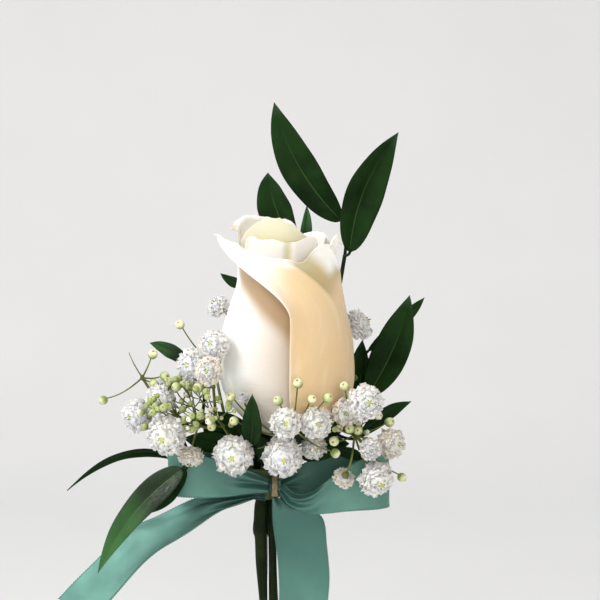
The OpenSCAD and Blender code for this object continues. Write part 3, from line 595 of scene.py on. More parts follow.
def crease_group():
    """Fine wrinkles drawn out across or along a piece, as a height."""
    tree, given, result = new_group(
        "creases", [("Across", FLOAT, 6.0), ("Along", FLOAT, 60.0), ("Slant", FLOAT, 0.0),
                    ("Detail", FLOAT, 4.0)], [("Height", FLOAT)])
    across, length = surface_axes(tree)
    leaning = math_node(tree, "MULTIPLY_ADD", length, given["Slant"], across)
    place = add(tree, "ShaderNodeCombineXYZ", x=product(tree, leaning, given["Across"]),
                y=product(tree, length, given["Along"])).outputs[0]
    wrinkles = add(tree, "ShaderNodeTexNoise", vector=place, scale=1.0, detail=given["Detail"],
                   roughness=0.62)
    tree.links.new(wrinkles.outputs[0], result["Height"])
    return tree


MOTTLE = mottle_group()
RIBS = ribs_group()
CREASES = crease_group()


class Finish:
    """A material while it is made: a Principled shader and the colour laid on it so far, coat over coat."""

    def __init__(self, name, colour, **constants):
        """The constants are set on the shader's own sockets."""
        self.material = bpy.data.materials.new(name)
        self.material.use_nodes = True
        self.tree = self.material.node_tree
        self.shader = self.tree.nodes["Principled BSDF"]
        self.colour = colour
        for key, value in constants.items():
            title = key.replace("_", " ").title().replace("Ior", "IOR")
            self.shader.inputs[title].default_value = value

    def mask(self, *parts):
        """Product of its parts: numbers, sockets, or sockets with the two values that a ramp runs between."""
        return product(self.tree, *(ramp(self.tree, *p) if isinstance(p, tuple) else p for p in parts))

    def coat(self, colour, *parts):
        """Lays a colour over the colour so far where the mask of the parts is."""
        self.colour = blend_colour(self.tree, self.mask(*parts), self.colour, colour)

    def mottle(self, other, scale, amount):
        """Lays another colour over the colour so far in clouds."""
        self.colour = use(self.tree, MOTTLE, colour=self.colour, other=other, scale=scale, amount=amount)[0]

    def creases(self, across, lengthwise, detail, slant=0.0):
        """Height of wrinkles, with their number across and along the piece."""
        return use(self.tree, CREASES, across=across, along=lengthwise, detail=detail, slant=slant)[0]

    def ribs(self, count, wander, wander_scale):
        """Height of fine lines along the piece."""
        return use(self.tree, RIBS, count=count, wander=wander, wander_scale=wander_scale)[0]

    def relief(self, height, strength, depth):
        """Bump from a height, depth in metres."""
        bump = add(self.tree, "ShaderNodeBump", strength=strength, distance=depth, height=height)
        self.tree.links.new(bump.outputs[0], self.shader.inputs["Normal"])

    def done(self, roughness=None):
        """The finished material; a roughness that changes over the surface is linked here too."""
        self.tree.links.new(self.colour, self.shader.inputs["Base Color"])
        if roughness is not None:
            self.tree.links.new(roughness, self.shader.inputs["Roughness"])
        return self.material


def petal_finish(name, foot, body, rim, cloud, slant, wrinkles):
    """Petal skin: greener at its foot, paler at its rim, faint streaks along it and wrinkles across it."""
    skin = Finish(name, foot, roughness=0.5, subsurface_weight=0.4, subsurface_scale=0.004,
                  subsurface_radius=(1.0, 0.7, 0.4), sheen_weight=0.1, specular_ior_level=0.25)
    length = surface_axes(skin.tree)[1]
    streaks = skin.creases(16.0, 1.6, 3.0, slant)
    skin.coat(body, (length, 0.0, 0.3))
    skin.coat(rim, (length, 0.7, 1.0))
    skin.coat(cloud, (streaks, 0.5, 0.75), 0.25)
    skin.mottle(cloud, 140.0, 0.15)
    fine = skin.creases(4.0, wrinkles, 5.0, 0.1)
    skin.relief(math_node(skin.tree, "MULTIPLY_ADD", streaks, 0.6, fine), 0.3, 0.0005)
    return skin


def front_petal_material():
    """The front petal: white where it folds to the left, peach to the right, the peach partly its own colour
    and partly painted shade on the side turned from the light. A painted highlight runs along its left
    margin, the white lip at its right is partly pale rim and partly painted highlight, and painted shade
    darkens the valley below that lip."""
    skin = petal_finish("petal_blush", FOOT_GREEN, IVORY, IVORY_WHITE, BLUSH_LIGHT, -0.5, 24.0)
    across, length = surface_axes(skin.tree)
    # Peach to the right: partly the petal's own colour, partly painted shade on the side turned from the
    # light
    peach = skin.mask((from_left(skin.tree), -0.002, 0.009), (length, 0.83, 0.79))
    skin.coat(BLUSH_AND_SHADE, peach)
    skin.coat(BLUSH_DEEP, (length, 0.7, 0.35), 0.5, peach)
    skin.coat(BLUSH_LIGHT, (skin.creases(8.0, 2.5, 2.0, -0.6), 0.5, 0.68), 0.35)
    # Painted shade in the valley below the white lip
    skin.coat(VALLEY_SHADE, (across, 0.62, 0.74), (length, 0.64, 0.74), 0.85)
    # White lip at the right: partly the pale rim, partly painted highlight
    skin.coat(IVORY_WHITE, (across, 0.8, 0.88), (length, 0.7, 0.76))
    # Painted highlight along the lifted left margin
    skin.coat(IVORY_WHITE, (across, 0.03, 0.005), (length, 0.55, 0.66))
    return skin.done()


def side_petal_material():
    """The left petal: white, pinkish in its middle, the pink partly its own and partly painted shade; painted
    shadow in tan below the front petal's margin and painted grey shade beside it.
    """
    skin = petal_finish("petal_side", FOOT_GREEN, IVORY_WHITE, IVORY_WHITE, PINK_WHITE, 0.0, 46.0)
    across, length = surface_axes(skin.tree)
    # Pink, partly the petal's own and partly painted shade towards the front petal
    skin.coat(SIDE_PINK_SHADE, (across, 0.56, 0.76), 0.8)
    # Painted grey shade beside the front petal's margin, low down
    skin.coat(MARGIN_SHADE_GREY, (across, 0.72, 0.9), (length, 0.0, 0.4), 0.8)
    # Painted shadow in tan below the front petal's folded margin
    under = math_node(skin.tree, "MULTIPLY_ADD", across, 0.5, length)
    skin.coat(FLAP_SHADOW_TAN, (under, 0.93, 1.05), (across, 0.38, 0.54), 0.95)
    return skin.done()


def inner_petal_material():
    """Inner petals: white, with painted shade in yellow-green in a fold and painted grey shade to the right
    of it.
    """
    skin = petal_finish("petal_inner", HEART_DEEP, IVORY, IVORY_WHITE, PINK_WHITE, 0.1, 20.0)
    side = from_left(skin.tree)
    # Painted grey shade to the right of the fold
    skin.coat(INNER_SHADE_GREY, (side, 0.0075, 0.011), 0.6)
    # Painted shade in yellow-green in the fold
    skin.coat(FOLD_SHADE_GREEN, (side, 0.0048, 0.0066), (side, 0.0084, 0.007), 0.75)
    return skin.done()


def back_petal_material():
    """Back petals: ivory, with an aged brown hem at the rim here and there."""
    skin = petal_finish("petal_cream", FOOT_GREEN, IVORY, IVORY_WHITE, PINK_WHITE, 0.1, 30.0)
    across, length = surface_axes(skin.tree)
    patches = skin.creases(14.0, 6.0, 3.0)
    skin.coat(AGED_BROWN, (patches, 0.3, 0.6), (across, 0.9, 0.98), (length, 0.66, 0.72), 0.8)
    return skin.done()


def leaf_material(name, outer, gloss, shine):
    """Waxy leaf: faint parallel veins, a paler midrib, cloudy green, another green towards its tip, a paler
    blue-green tip and specks in the gloss."""
    skin = Finish(name, LEAF_DARK, specular_ior_level=shine)
    across, length = surface_axes(skin.tree)
    skin.mottle(blend_colour(skin.tree, ramp(skin.tree, length, 0.3, 0.75), LEAF_LIGHT, outer), 110.0, 0.9)
    skin.coat(outer, (length, 0.3, 0.7), 0.6)
    veins = skin.creases(42.0, 2.0, 2.0)
    skin.coat(LEAF_LIGHT, (veins, 0.4, 0.8), 0.3)
    rib = ramp(skin.tree, from_middle(skin.tree, across), 0.022, 0.0)
    skin.coat(LEAF_RIB, rib, (length, 1.0, 0.1), 0.6)
    skin.coat(LEAF_TIP, (length, 0.86, 1.0), 0.4)
    specks = use(skin.tree, MOTTLE, scale=1500.0, amount=0.3)["Mask"]
    dots = math_node(skin.tree, "MULTIPLY_ADD", specks, 0.6, veins)
    skin.relief(math_node(skin.tree, "MULTIPLY_ADD", rib, -0.8, dots), 0.3, 0.0002)
    return skin.done(math_node(skin.tree, "ADD", specks, gloss))


def stem_material(name, dark, light, fibres):
    """Fresh stem with long fibres and darker patches."""
    skin = Finish(name, dark, roughness=0.55, specular_ior_level=0.1)
    skin.mottle(light, 260.0, 0.7)
    lines = skin.ribs(fibres, 0.3, 6.0)
    skin.coat(light, lines, 0.18)
    skin.relief(lines, 0.3, 0.00015)
    return skin.done()


def bloom_material():
    """Small ruffled petals: white at their tips, yellow-green at their foot. Whole numbers across the surface
    tell the petals apart, and from CREAM_FROM up the head is a creamier one, its cream partly its own and
    partly painted warm light and shade."""
    skin = Finish("bloom_white", BLOOM_WHITE, roughness=0.6, subsurface_weight=0.85, subsurface_scale=0.003,
                  subsurface_radius=(1.0, 0.9, 0.65), sheen_weight=0.1, specular_ior_level=0.25)
    across, length = surface_axes(skin.tree)
    skin.coat(BLOOM_PEARL, pick_by_number(skin.tree, across))
    # Creamier heads: partly their own cream, partly painted warm light and shade
    skin.coat(BLOOM_CREAM_AND_SHADE, (across, CREAM_FROM - 1, CREAM_FROM))
    skin.coat(BLOOM_YELLOW, (length, 0.72, 0.4))
    skin.coat(BLOOM_GREEN, (length, 0.45, 0.15))
    skin.relief(skin.creases(7.0, 1.5, 3.0), 0.3, 0.0003)
    return skin.done()


def bud_material(name, top, light):
    """Closed bud: green cup below, paler top with a dark eye above. From CREAM_FROM up it is a white,
    half-open one."""
    skin = Finish(name, top, roughness=0.45, subsurface_weight=0.25, subsurface_scale=0.001,
                  specular_ior_level=0.3)
    across, length = surface_axes(skin.tree)
    skin.coat(BLOOM_PEARL, (across, CREAM_FROM - 1, CREAM_FROM))
    skin.coat(light, pick_by_number(skin.tree, across), 0.7)
    skin.coat(BUD_GREEN, (length, 0.74, 0.38))
    skin.coat(BUD_EYE, (length, 0.9, 0.98))
    skin.mottle(BUD_GREEN, 900.0, 0.4)
    return skin.done()


def satin_material(name, bright, deep_and_shade, metallic, roughness, gather):
    """Satin: lengthwise floats that catch the light, and a cross weave in its firm woven edges. Painted shade
    darkens it near the knot, over a length of gather ribbon widths."""
    skin = Finish(name, bright, metallic=metallic, specular_ior_level=0.5, anisotropic=0.6,
                  sheen_weight=0.15, sheen_roughness=0.35, sheen_tint=SATIN_SHEEN)
    tree = skin.tree
    across, length = surface_axes(tree)
    edge = ramp(tree, from_middle(tree, across), 0.455, 0.475)
    floats = skin.ribs(150.0, 0.002, 5.0)
    weave = math_node(tree, "SINE", product(tree, length, math.tau * PICKS_PER_WIDTH))
    skin.mottle(deep_and_shade, 90.0, 0.35)
    # Painted shade near the knot
    gathered = skin.mask((length, gather, gather / 5), 0.8)
    skin.coat(deep_and_shade, math_node(tree, "MAXIMUM", skin.mask(edge, 0.3), gathered))
    skin.relief(math_node(tree, "MULTIPLY_ADD", floats, 0.35, product(tree, weave, edge)), 0.25, 0.00012)
    return skin.done(math_node(tree, "MULTIPLY_ADD", edge, 0.25, roughness))


def tape_material():
    """Waxed crepe tape with fine stretch wrinkles across its winding."""
    skin = Finish("floral_tape", TAPE_GREEN, roughness=0.6, specular_ior_level=0.35)
    skin.mottle(TAPE_LIGHT, 420.0, 0.6)
    skin.relief(skin.creases(70.0, 5.0, 3.0), 0.5, 0.0003)
    return skin.done()


def tie_material():
    """Twisted fibre tie."""
    skin = Finish("tie_tan", TIE_TAN, roughness=0.75, sheen_weight=0.2)
    skin.mottle(TIE_DARK, 1400.0, 0.6)
    skin.relief(skin.ribs(9.0, 0.5, 8.0), 0.5, 0.0001)
    return skin.done()


def steel_material():
    """Polished pin wire with faint drawing lines in its gloss."""
    skin = Finish("pin_steel", STEEL, metallic=1.0)
    skin.mottle(STEEL_DARK, 600.0, 0.4)
    return skin.done(math_node(skin.tree, "MULTIPLY_ADD", skin.ribs(24.0, 0.05, 4.0), 0.1, 0.18))


def pearl_material():
    """Pearl head: a clear coat over cream with a soft cloudy lustre."""
    skin = Finish("pin_pearl", PEARL, roughness=0.3, coat_weight=0.8, coat_roughness=0.08, sheen_weight=0.3,
                  subsurface_weight=0.15, subsurface_scale=0.001)
    skin.mottle(PEARL_ROSE, 380.0, 0.7)
    return skin.done()


def wall_material():
    """Matt wall paint with a faint cloud."""
    skin = Finish("wall_grey", WALL_GREY, roughness=0.85, specular_ior_level=0.2)
    skin.mottle(WALL_SHADE, 6.0, 0.4)
    return skin.done()


# Colours, as linear red, green, blue
IVORY = (0.93, 0.89, 0.80, 1)
IVORY_WHITE = (0.97, 0.95, 0.90, 1)
# Peach of the front petal: partly its own colour, partly painted shade on the side turned from the light
BLUSH_AND_SHADE = (0.84, 0.59, 0.36, 1)
BLUSH_DEEP = (0.74, 0.49, 0.28, 1)
BLUSH_LIGHT = (0.89, 0.71, 0.50, 1)
# Painted shade in the front petal's valley
VALLEY_SHADE = (0.42, 0.35, 0.19, 1)
PINK_WHITE = (0.92, 0.82, 0.76, 1)
# Pink of the left petal: partly its own, partly painted shade towards the front petal
SIDE_PINK_SHADE = (0.69, 0.58, 0.50, 1)
# Painted shadow in tan under the front petal's margin, and painted grey shade beside it
FLAP_SHADOW_TAN = (0.37, 0.25, 0.14, 1)
MARGIN_SHADE_GREY = (0.47, 0.39, 0.32, 1)
AGED_BROWN = (0.45, 0.33, 0.20, 1)
# Painted grey shade on the inner petals, right of their fold
INNER_SHADE_GREY = (0.90, 0.87, 0.82, 1)
# Painted shade in the inner petals' fold, yellow-green
FOLD_SHADE_GREEN = (0.62, 0.58, 0.30, 1)
FOOT_GREEN = (0.62, 0.60, 0.34, 1)
HEART_CREAM = (0.70, 0.65, 0.44, 1)
HEART_RIM = (0.80, 0.77, 0.60, 1)
HEART_DEEP = (0.88, 0.76, 0.42, 1)
LEAF_DARK = (0.003, 0.012, 0.002, 1)
LEAF_LIGHT = (0.009, 0.033, 0.006, 1)
LEAF_BRIGHT = (0.03, 0.12, 0.025, 1)
LEAF_RIB = (0.08, 0.16, 0.05, 1)
LEAF_TIP = (0.05, 0.12, 0.07, 1)
STEM_DARK = (0.004, 0.009, 0.002, 1)
STEM_LIGHT = (0.015, 0.028, 0.006, 1)
TWIG_DARK = (0.07, 0.08, 0.02, 1)
TWIG_LIGHT = (0.22, 0.25, 0.08, 1)
BLOOM_WHITE = (0.99, 0.98, 0.94, 1)
BLOOM_PEARL = (0.98, 0.95, 0.87, 1)
# Cream of the creamier heads: partly their own, partly painted warm light and shade
BLOOM_CREAM_AND_SHADE = (0.97, 0.88, 0.72, 1)
BLOOM_YELLOW = (0.95, 0.93, 0.66, 1)
BLOOM_GREEN = (0.55, 0.60, 0.20, 1)
BUD_GREEN = (0.20, 0.28, 0.07, 1)
BUD_CREAM = (0.80, 0.80, 0.56, 1)
BUD_LIGHT = (0.48, 0.54, 0.26, 1)
BUD_OLIVE = (0.17, 0.22, 0.06, 1)
BUD_EYE = (0.14, 0.13, 0.04, 1)
SATIN_TEAL = (0.11, 0.27, 0.225, 1)
# Deeper teal: cloudy tone, woven edges and painted shade near the knot
SATIN_DEEP_AND_SHADE = (0.035, 0.11, 0.093, 1)
# Painted shade: darker colours of the satin's duller reverse face
REVERSE_SHADE_TEAL = (0.03, 0.11, 0.088, 1)
REVERSE_SHADE_DEEP = (0.015, 0.06, 0.047, 1)
SATIN_SHEEN = (0.6, 0.95, 0.9, 1)
TAPE_GREEN = (0.05, 0.085, 0.025, 1)
TAPE_LIGHT = (0.10, 0.14, 0.05, 1)
TIE_TAN = (0.26, 0.20, 0.10, 1)
TIE_DARK = (0.14, 0.10, 0.05, 1)
STEEL = (0.66, 0.66, 0.68, 1)
STEEL_DARK = (0.5, 0.5, 0.52, 1)
PEARL = (0.90, 0.87, 0.80, 1)
PEARL_ROSE = (0.86, 0.80, 0.78, 1)
WALL_GREY = (0.76, 0.77, 0.79, 1)
WALL_SHADE = (0.725, 0.735, 0.755, 1)
ROOM_WARM = (1.0, 0.93, 0.84, 1)
ROOM_PALE = (1.0, 0.985, 0.955, 1)

# Surface number from which a head is a creamier one, its cream partly painted warm light and shade, and from
# which a bud is a half-open one
CREAM_FROM = 5000
# Cross threads of the satin's edge in a length of one ribbon width
PICKS_PER_WIDTH = 22

petal_front_skin = front_petal_material()
petal_side_skin = side_petal_material()
petal_back_skin = back_petal_material()
petal_inner_skin = inner_petal_material()
petal_heart_skin = petal_finish(
    "petal_heart", HEART_DEEP, HEART_CREAM, HEART_RIM, HEART_DEEP, 0.1, 30.0).done()
leaf_skin = leaf_material("leaf_green", LEAF_LIGHT, 0.45, 0.08)
leaf_bright_skin = leaf_material("leaf_bright", LEAF_BRIGHT, 0.34, 0.3)
stem_skin = stem_material("stem_green", STEM_DARK, STEM_LIGHT, 9.0)
twig_skin = stem_material("twig_green", TWIG_DARK, TWIG_LIGHT, 5.0)
bloom_skin = bloom_material()
bud_skin = bud_material("bud_cream", BUD_CREAM, BUD_LIGHT)
small_bud_skin = bud_material("bud_small", BUD_LIGHT, BUD_OLIVE)
# Each satin has painted shade near the knot; the tails' copy carries it further from the knot
satin = satin_material("satin_teal", SATIN_TEAL, SATIN_DEEP_AND_SHADE, 0.4, 0.34, 1.5)
tail_satin_shaded = satin_material("satin_tail_shaded", SATIN_TEAL, SATIN_DEEP_AND_SHADE, 0.4, 0.34, 3.0)
# The duller reverse face, whose darker colours are painted shade
reverse_satin_shaded = satin_material("reverse_satin_shaded", REVERSE_SHADE_TEAL, REVERSE_SHADE_DEEP, 0.1, 0.5, 1.5)
tape = tape_material()
tie_fibre = tie_material()
steel = steel_material()
pearl = pearl_material()
wall_paint = wall_material()

# The rose

PETAL_COLS = 64
PETAL_ROWS = 48
LIP_ROWS = 10
# Share of a petal's height above which its margins sweep away
WAIST = 0.66
# Creases that run down from a petal's rim: place from margin to margin, width, depth in millimetres
CREASE_AT = {"petal_front": [(0.78, 0.07, 0.6)], "petal_inner_front": [(0.6, 0.06, 0.5)]}
# How far a petal's left margin folds off the petal below: width as a share, lift in millimetres
FLAP = {"petal_front": (0.2, 2.4)}
# Belly of a petal: middle in degrees, half width in degrees, middle height share, half height, millimetres
BELLY = {"petal_left": (-78, 78, 0.46, 0.34, 1.9)}
# Small points on a rim: place from margin to margin, width, height share
POINTS = {"petal_inner_peak": [(0.5, 0.03, 0.012)], "petal_right": [(0.12, 0.03, 0.012)]}
# Skin and slot of each petal that isn't as the back petals are
PETAL_SKINS = {
    "petal_front": (petal_front_skin, "petal_blush"), "petal_left": (petal_side_skin, "petal_cream"),
    "petal_inner_front": (petal_inner_skin, "petal_heart"),
    "petal_inner_right": (petal_inner_skin, "petal_heart"),
    "petal_inner_peak": (petal_heart_skin, "petal_heart"),
}


def body_r(share):
    """Radius of the rose at a share of its height."""
    return smooth(BODY, share) * ROSE_D / 2


def petal_point(petal, s, v, roll, inside, seed):
    """Point of a petal: s from its left margin to its right, v from foot to rim, roll along its lip."""
    name, layer, foot, rims, left_marks, right_marks, spreads, curls, lean = petal
    count = len(rims) - 1
    rim = smooth([(k / count, rims[k]) for k in range(count + 1)], s)
    ripple = 0.011 * rough(s * 5, seed) + 0.005 * rough(s * 17, seed + 5)
    for place, width, rise in POINTS.get(name, []):
        ripple += rise * math.exp(-((s - place) / width) ** 2)
    top = rim - 0.07 * abs(2 * s - 1) ** 5 - LIP_R / ROSE_H + ripple
    share = mix(foot, top, v)
    low = min(v / WAIST, 1)
    high = clamp((v - WAIST) / (1 - WAIST)) ** 1.8
    left, right = (mix(mix(marks[0], marks[1], low), marks[2], high) for marks in (left_marks, right_marks))
    wander = 1.6 * rough(v * 5, seed + 9) * (abs(2 * s - 1) ** 3)
    turn = math.radians(mix(left, right, s) + wander)
    spread = (spreads[0] * (1 - s) ** 2 + spreads[1] * s * s) * ROSE_D / 2 * v ** 3
    curl = math.radians(mix(curls[0], curls[1], s) * (1 + 0.5 * rough(s * 4, seed + 3)) * roll)
    edge = min(s, 1 - s)
    thick = mix(0.2, 0.6, ease(edge, 0, 0.12) * ease(1 - v, 0, 0.15)) * MM if inside else 0
    swell = 0.35 * MM * rough(s * 3, v * 2.5, seed) * ease(v, 0.05, 0.3)
    for place, width, depth in CREASE_AT.get(name, []):
        swell -= depth * MM * math.exp(-((s - place) / width) ** 2) * ease(v, 0.62, 0.95)
    hem = 0.5 * MM * (1 - ease(edge, 0, 0.05)) * ease(v, 0.15, 0.5)
    if name in FLAP:
        width, lift = FLAP[name]
        hem += lift * MM * (1 - clamp(s / width)) ** 2 * ease(v, 0.3, 0.7) * (1 - 0.8 * ease(v, 0.8, 1))
    if name in BELLY:
        middle, half, level, reach, out = BELLY[name]
        off = clamp(abs(math.degrees(turn) - middle) / half)
        rise = clamp(abs(share - level) / reach)
        hem += out * MM * (1 - off * off) ** 2 * (1 - rise * rise) ** 2
    r = (body_r(share) - layer * PETAL_PITCH + spread - lean * ROSE_D / 2 * v ** 3 + swell + hem
         + LIP_R * (1 - math.cos(curl)) - thick * math.cos(curl))
    return round_rose(r, turn, share * ROSE_H + (LIP_R + thick) * math.sin(curl))


def petal_grid(petal, inside, seed):
    """Rows of a petal's points from its foot to its rim, then along its rolled lip."""
    marks = [(i / PETAL_ROWS, 0) for i in range(PETAL_ROWS + 1)]
    marks += [(1, i / LIP_ROWS) for i in range(1, LIP_ROWS + 1)]
    return [[petal_point(petal, j / PETAL_COLS, v, roll, inside, seed) for j in range(PETAL_COLS + 1)]
            for v, roll in marks]


def make_petals():
    for number, petal in enumerate(PETALS):
        shape = Shape()
        seed = 11.3 * number + 2.7
        shape.sheet(*(petal_grid(petal, inside, seed) for inside in (False, True)))
        skin, slot = PETAL_SKINS.get(petal[0], (petal_back_skin, "petal_cream"))
        fit(shape.make(petal[0] + "_skin", skin), slot, petal[0])


def make_heart():
    """The scroll of small petals in the middle of the rose."""
    turns, foot, thick = 1.5, 0.14, 0.5 * MM

    def point(v, t, inside):
        wave = 0.012 * rough(t * 14, 4.2)
        share = foot + (0.9 + 0.05 * math.cos(math.tau * t * turns * 1.5) + wave - foot) * v
        r = (body_r(share) - 5 * PETAL_PITCH) * (1 - 0.72 * t) * (1 - 0.25 * v * v)
        r += 0.3 * MM * rough(t * 9, v * 3, 8.1) - (thick if inside else 0)
        return round_rose(r, math.radians(-40 + 360 * turns * t), share * ROSE_H)
    shape = Shape()
    shape.wall(30, 150, point)
    fit(shape.make("rose_heart_scroll", petal_heart_skin), "petal_heart", "rose_heart")


def make_calyx():
    """The green foot that carries the petals, with five sepals."""
    r = ROSE_D / 2
    plug = 0.33 * r
    top = 0.12 * ROSE_H
    outline = [(0.02 * r, -1.2 * MM), (STEM_D / 2 + 0.1 * MM, -1.2 * MM), (0.2 * r, -0.6 * MM),
               (0.3 * r, 0.2 * MM), (0.32 * r, MM), (plug, 0.03 * ROSE_H), (plug, top - 0.6 * MM),
               (plug - 0.8 * MM, top), (0.02 * r, top)]
    shape = Shape()
    shape.solid([[ROSE_AT + Vector((x * math.cos(a), x * math.sin(a), z)) for a in once_round(40)]
                 for x, z in outline])
    # height share, half turn of the sepal in degrees, way off the petals in millimetres
    sepal = [(0.008, 24, 0.0), (0.05, 17, 0.95), (0.09, 10, 1.2), (0.125, 2, 1.6)]
    for k in range(5):
        def point(v, s, inside):
            share = mix(sepal[0][0], sepal[-1][0], v)
            half, off = (smooth([(row[0], row[n]) for row in sepal], share) for n in (1, 2))
            q = 2 * s - 1
            out = body_r(share) + off * MM + (0 if inside else 0.5 * MM * (1 - 0.6 * q * q))
            return round_rose(out, math.radians(15 + 72 * k + q * half), share * ROSE_H)
        shape.wall(14, 8, point, u0=k + 1)
    fit(shape.make("rose_foot", stem_skin), "stem_green", "rose_calyx")


# Leaves and stems

LEAF_ROWS = 44
LOW_LEAF_ROWS = 20
LEAF_COLS = 14
BRIGHT_LEAVES = ("leaf_left_big", "leaf_back_spike", "leaf_left_high")
# Small dark leaves low between the heads and one behind the stems, with the same values as the ruscus leaves
LOW_LEAVES = [
    ("low_1", (-0.1, -0.27, 0.17), (-0.5, -0.05, 0.2), (0, 0, 0.04), 0.75, 0.45, 10, 10),
    ("low_2", (-0.05, -0.26, 0.2), (-0.3, -0.08, 0.36), (0, 0, 0.02), 0.6, 0.45, -8, 12),
    ("low_3", (0.02, -0.31, 0.15), (-0.04, -0.1, 0.32), (0, 0, 0), 0.5, 0.45, 14, 10),
    ("low_4", (0.25, -0.3, 0.2), (0.36, -0.05, 0.12), (0, 0, 0.03), 0.6, 0.45, 8, 10),
    ("low_5", (0.3, -0.28, 0.24), (0.3, -0.05, 0.25), (0, 0, 0.02), 0.5, 0.45, -12, 12),
    ("low_6", (-0.2, -0.28, 0.3), (-0.32, -0.1, 0.14), (0, 0, 0.02), 0.42, 0.45, 12, 10),
    ("low_7", (0.02, -0.08, 0.05), (0, 0, -0.46), (0, 0, 0), 0.34, 0.5, 0, 0),
]


def leaf_point(leaf, t, q, back, seed):
    """Point of a leaf: t from foot to tip, q from -1 at one margin to 1 at the other."""
    name, foot_share, reach_share, bow_share, wide, widest, roll, fold = leaf
    reach = Vector(reach_share) * LEAF_L
    bow = Vector(bow_share) * LEAF_L * 4
    middle = spot(foot_share) + reach * t + bow * t * (1 - t)
    way = (reach + bow * (1 - 2 * t)).normalized()
    flat = way.cross(Vector((0, -1, 0))).normalized()
    up = flat.cross(way)
    turn = math.radians(roll + 7 * rough(t * 1.6, seed))
    side = swing(flat, up, turn)
    face = swing(up, -flat, turn)
    s = t / widest if t < widest else (1 - t) / (1 - widest)
    half = max(0.006, (s * (2 - s)) ** (0.55 if t < widest else 1)) * wide * LEAF_W / 2
    bend = math.radians(fold)
    lift = math.sqrt(q * q + 0.02) - 0.14
    arch = -0.10 * half * (1 - abs(2 * abs(q) - 1)) * min(1, s * 2)
    wave = 0.045 * half * math.sin(t * 17 + seed + 2 * q) * q * q
    thick = mix(0.62, 0.22, abs(q) ** 2) * MM * min(1, 0.3 + s)
    rib = 0.12 * MM * math.exp(-(q / 0.07) ** 2)
    drop = (thick + 2 * rib) if back else rib
    return (middle + side * half * q * math.cos(bend)
            + face * (half * lift * math.sin(bend) - arch + wave - drop))


def add_leaf(shape, leaf, rows, seed):
    shape.wall(rows, LEAF_COLS, lambda t, s, back: leaf_point(leaf, t, 2 * s - 1, back, seed))


def make_leaves():
    for number, leaf in enumerate(LEAVES):
        shape = Shape()
        add_leaf(shape, leaf, LEAF_ROWS, 3.1 * number + 1.3)
        skin = leaf_bright_skin if leaf[0] in BRIGHT_LEAVES else leaf_skin
        fit(shape.make(leaf[0] + "_blade", skin), "leaf_green", leaf[0])
    low = Shape()
    for number, leaf in enumerate(LOW_LEAVES):
        add_leaf(low, leaf, LOW_LEAF_ROWS, 5.3 * number + 60)
    fit(low.make("low_leaves", leaf_skin), "leaf_green")


def make_ruscus():
    """Green stems that climb from their slots and carry leaves on short stalks."""
    feet = {leaf[0]: (spot(leaf[1]), Vector(leaf[2])) for leaf in LEAVES}
    for name, turn, marks, leaves in RUSCUS:
        up = [spot(p) for p in marks]
        shape = Shape()
        path = flow([bundle_slot(turn, 0.5 * MM), bundle_slot(turn, WRAP_H)] + up, 8)
        shape.tube(path, tapered(path, STALK_D, STALK_D * 0.75), 10)
        for number, (leaf, mark) in enumerate(leaves):
            foot, reach = feet[leaf]
            twig = arrive(up[mark], foot + reach.normalized() * 0.4 * MM, reach, 10)
            shape.tube(twig, tapered(twig, STALK_D * 0.62, STALK_D * 0.5), 8, u0=number + 1)
        fit(shape.make(name + "_stem", stem_skin), "stem_green", name)


def add_stem(name, node, marks, steps, sides):
    """Stem through marks, each a place and a radius."""
    path, radii = (flow([mark[k] for mark in marks], steps) for k in (0, 1))
    shape = Shape()
    shape.tube(path, radii, sides)
    fit(shape.make(name, stem_skin), "stem_green", node)


def make_stems():
    """The rose's own stem, with its joints, and the second stem beside it."""
    r = STEM_D / 2
    neck = BUNDLE + Vector((0, 0, WRAP_H))
    # height share of the free length, way sideways in millimetres, radius share
    low = [(-1, 0.05, 0.62), (-0.87, -0.12, 0.7), (-0.6, -0.57, 0.9), (-0.45, -0.68, 0.94),
           (-0.37, -0.75, 0.97), (-0.32, -1.0, 1.09), (-0.28, -1.02, 1.1), (-0.22, -0.9, 1.04),
           (-0.1, -0.7, 1.0), (0, 0, 1)]
    marks = [(BUNDLE + Vector((x * MM, 0, h * STEM_L)), r * k) for h, x, k in low] + [(neck, r)]
    for t in (0.35, 0.6, 0.8):
        marks.append((mix(neck, ROSE_AT, t) - Vector((0, 0, math.sin(math.pi * t) * MM)), r))
    marks.append((ROSE_AT - Vector((0, 0, 1.3 * MM)), r))
    add_stem("main_stem", "rose_stem", marks, 5, 20)
    # height share of the free length, ways sideways and back in millimetres, radius share
    low = [(-0.98, -0.35, 0.5, 1.2), (-0.8, -0.5, 0.5, 1.1), (-0.6, -0.6, 0.5, 1), (-0.3, -0.65, 0.4, 1),
           (-0.12, -0.25, 0.2, 1), (0, 0, 0, 1), (0.24, 0, 0, 1)]
    top = bundle_slot(0, 0)
    marks = [(top + Vector((x * MM, y * MM, h * STEM_L)), SECOND_D / 2 * k) for h, x, y, k in low]
    add_stem("side_stem", "second_stem", marks, 6, 16)


# Baby's breath

BLOOM_PETALS = 96
BLOOM_ROWS = 5
BLOOM_COLS = 4
BLOOM_THICK = 0.1 * MM
# Turn from one petal to the next, so that they never line up, and their lean off the axis from first to last
PETAL_TURN = math.radians(137.5)
FIRST_LEAN, LAST_LEAN = math.radians(10), math.radians(122)
# Size of the pale mass of folded petals under the outer ones, as a share of the head
HEAD_CORE = 0.8
# Outline of the green cup under a head: way along its axis and radius, as shares of the head's radius
CUP = [(-0.86, 0.1), (-0.84, 0.2), (-0.66, 0.3), (-0.46, 0.34), (-0.3, 0.32), (-0.42, 0.1)]
# Heads that are creamier than the rest, partly their own cream and partly painted warm light and shade, by
# their name or their row in the table of small heads
CREAM_AND_SHADE_HEADS = {"bloom_16", "bloom_21", 2, 4, 6}


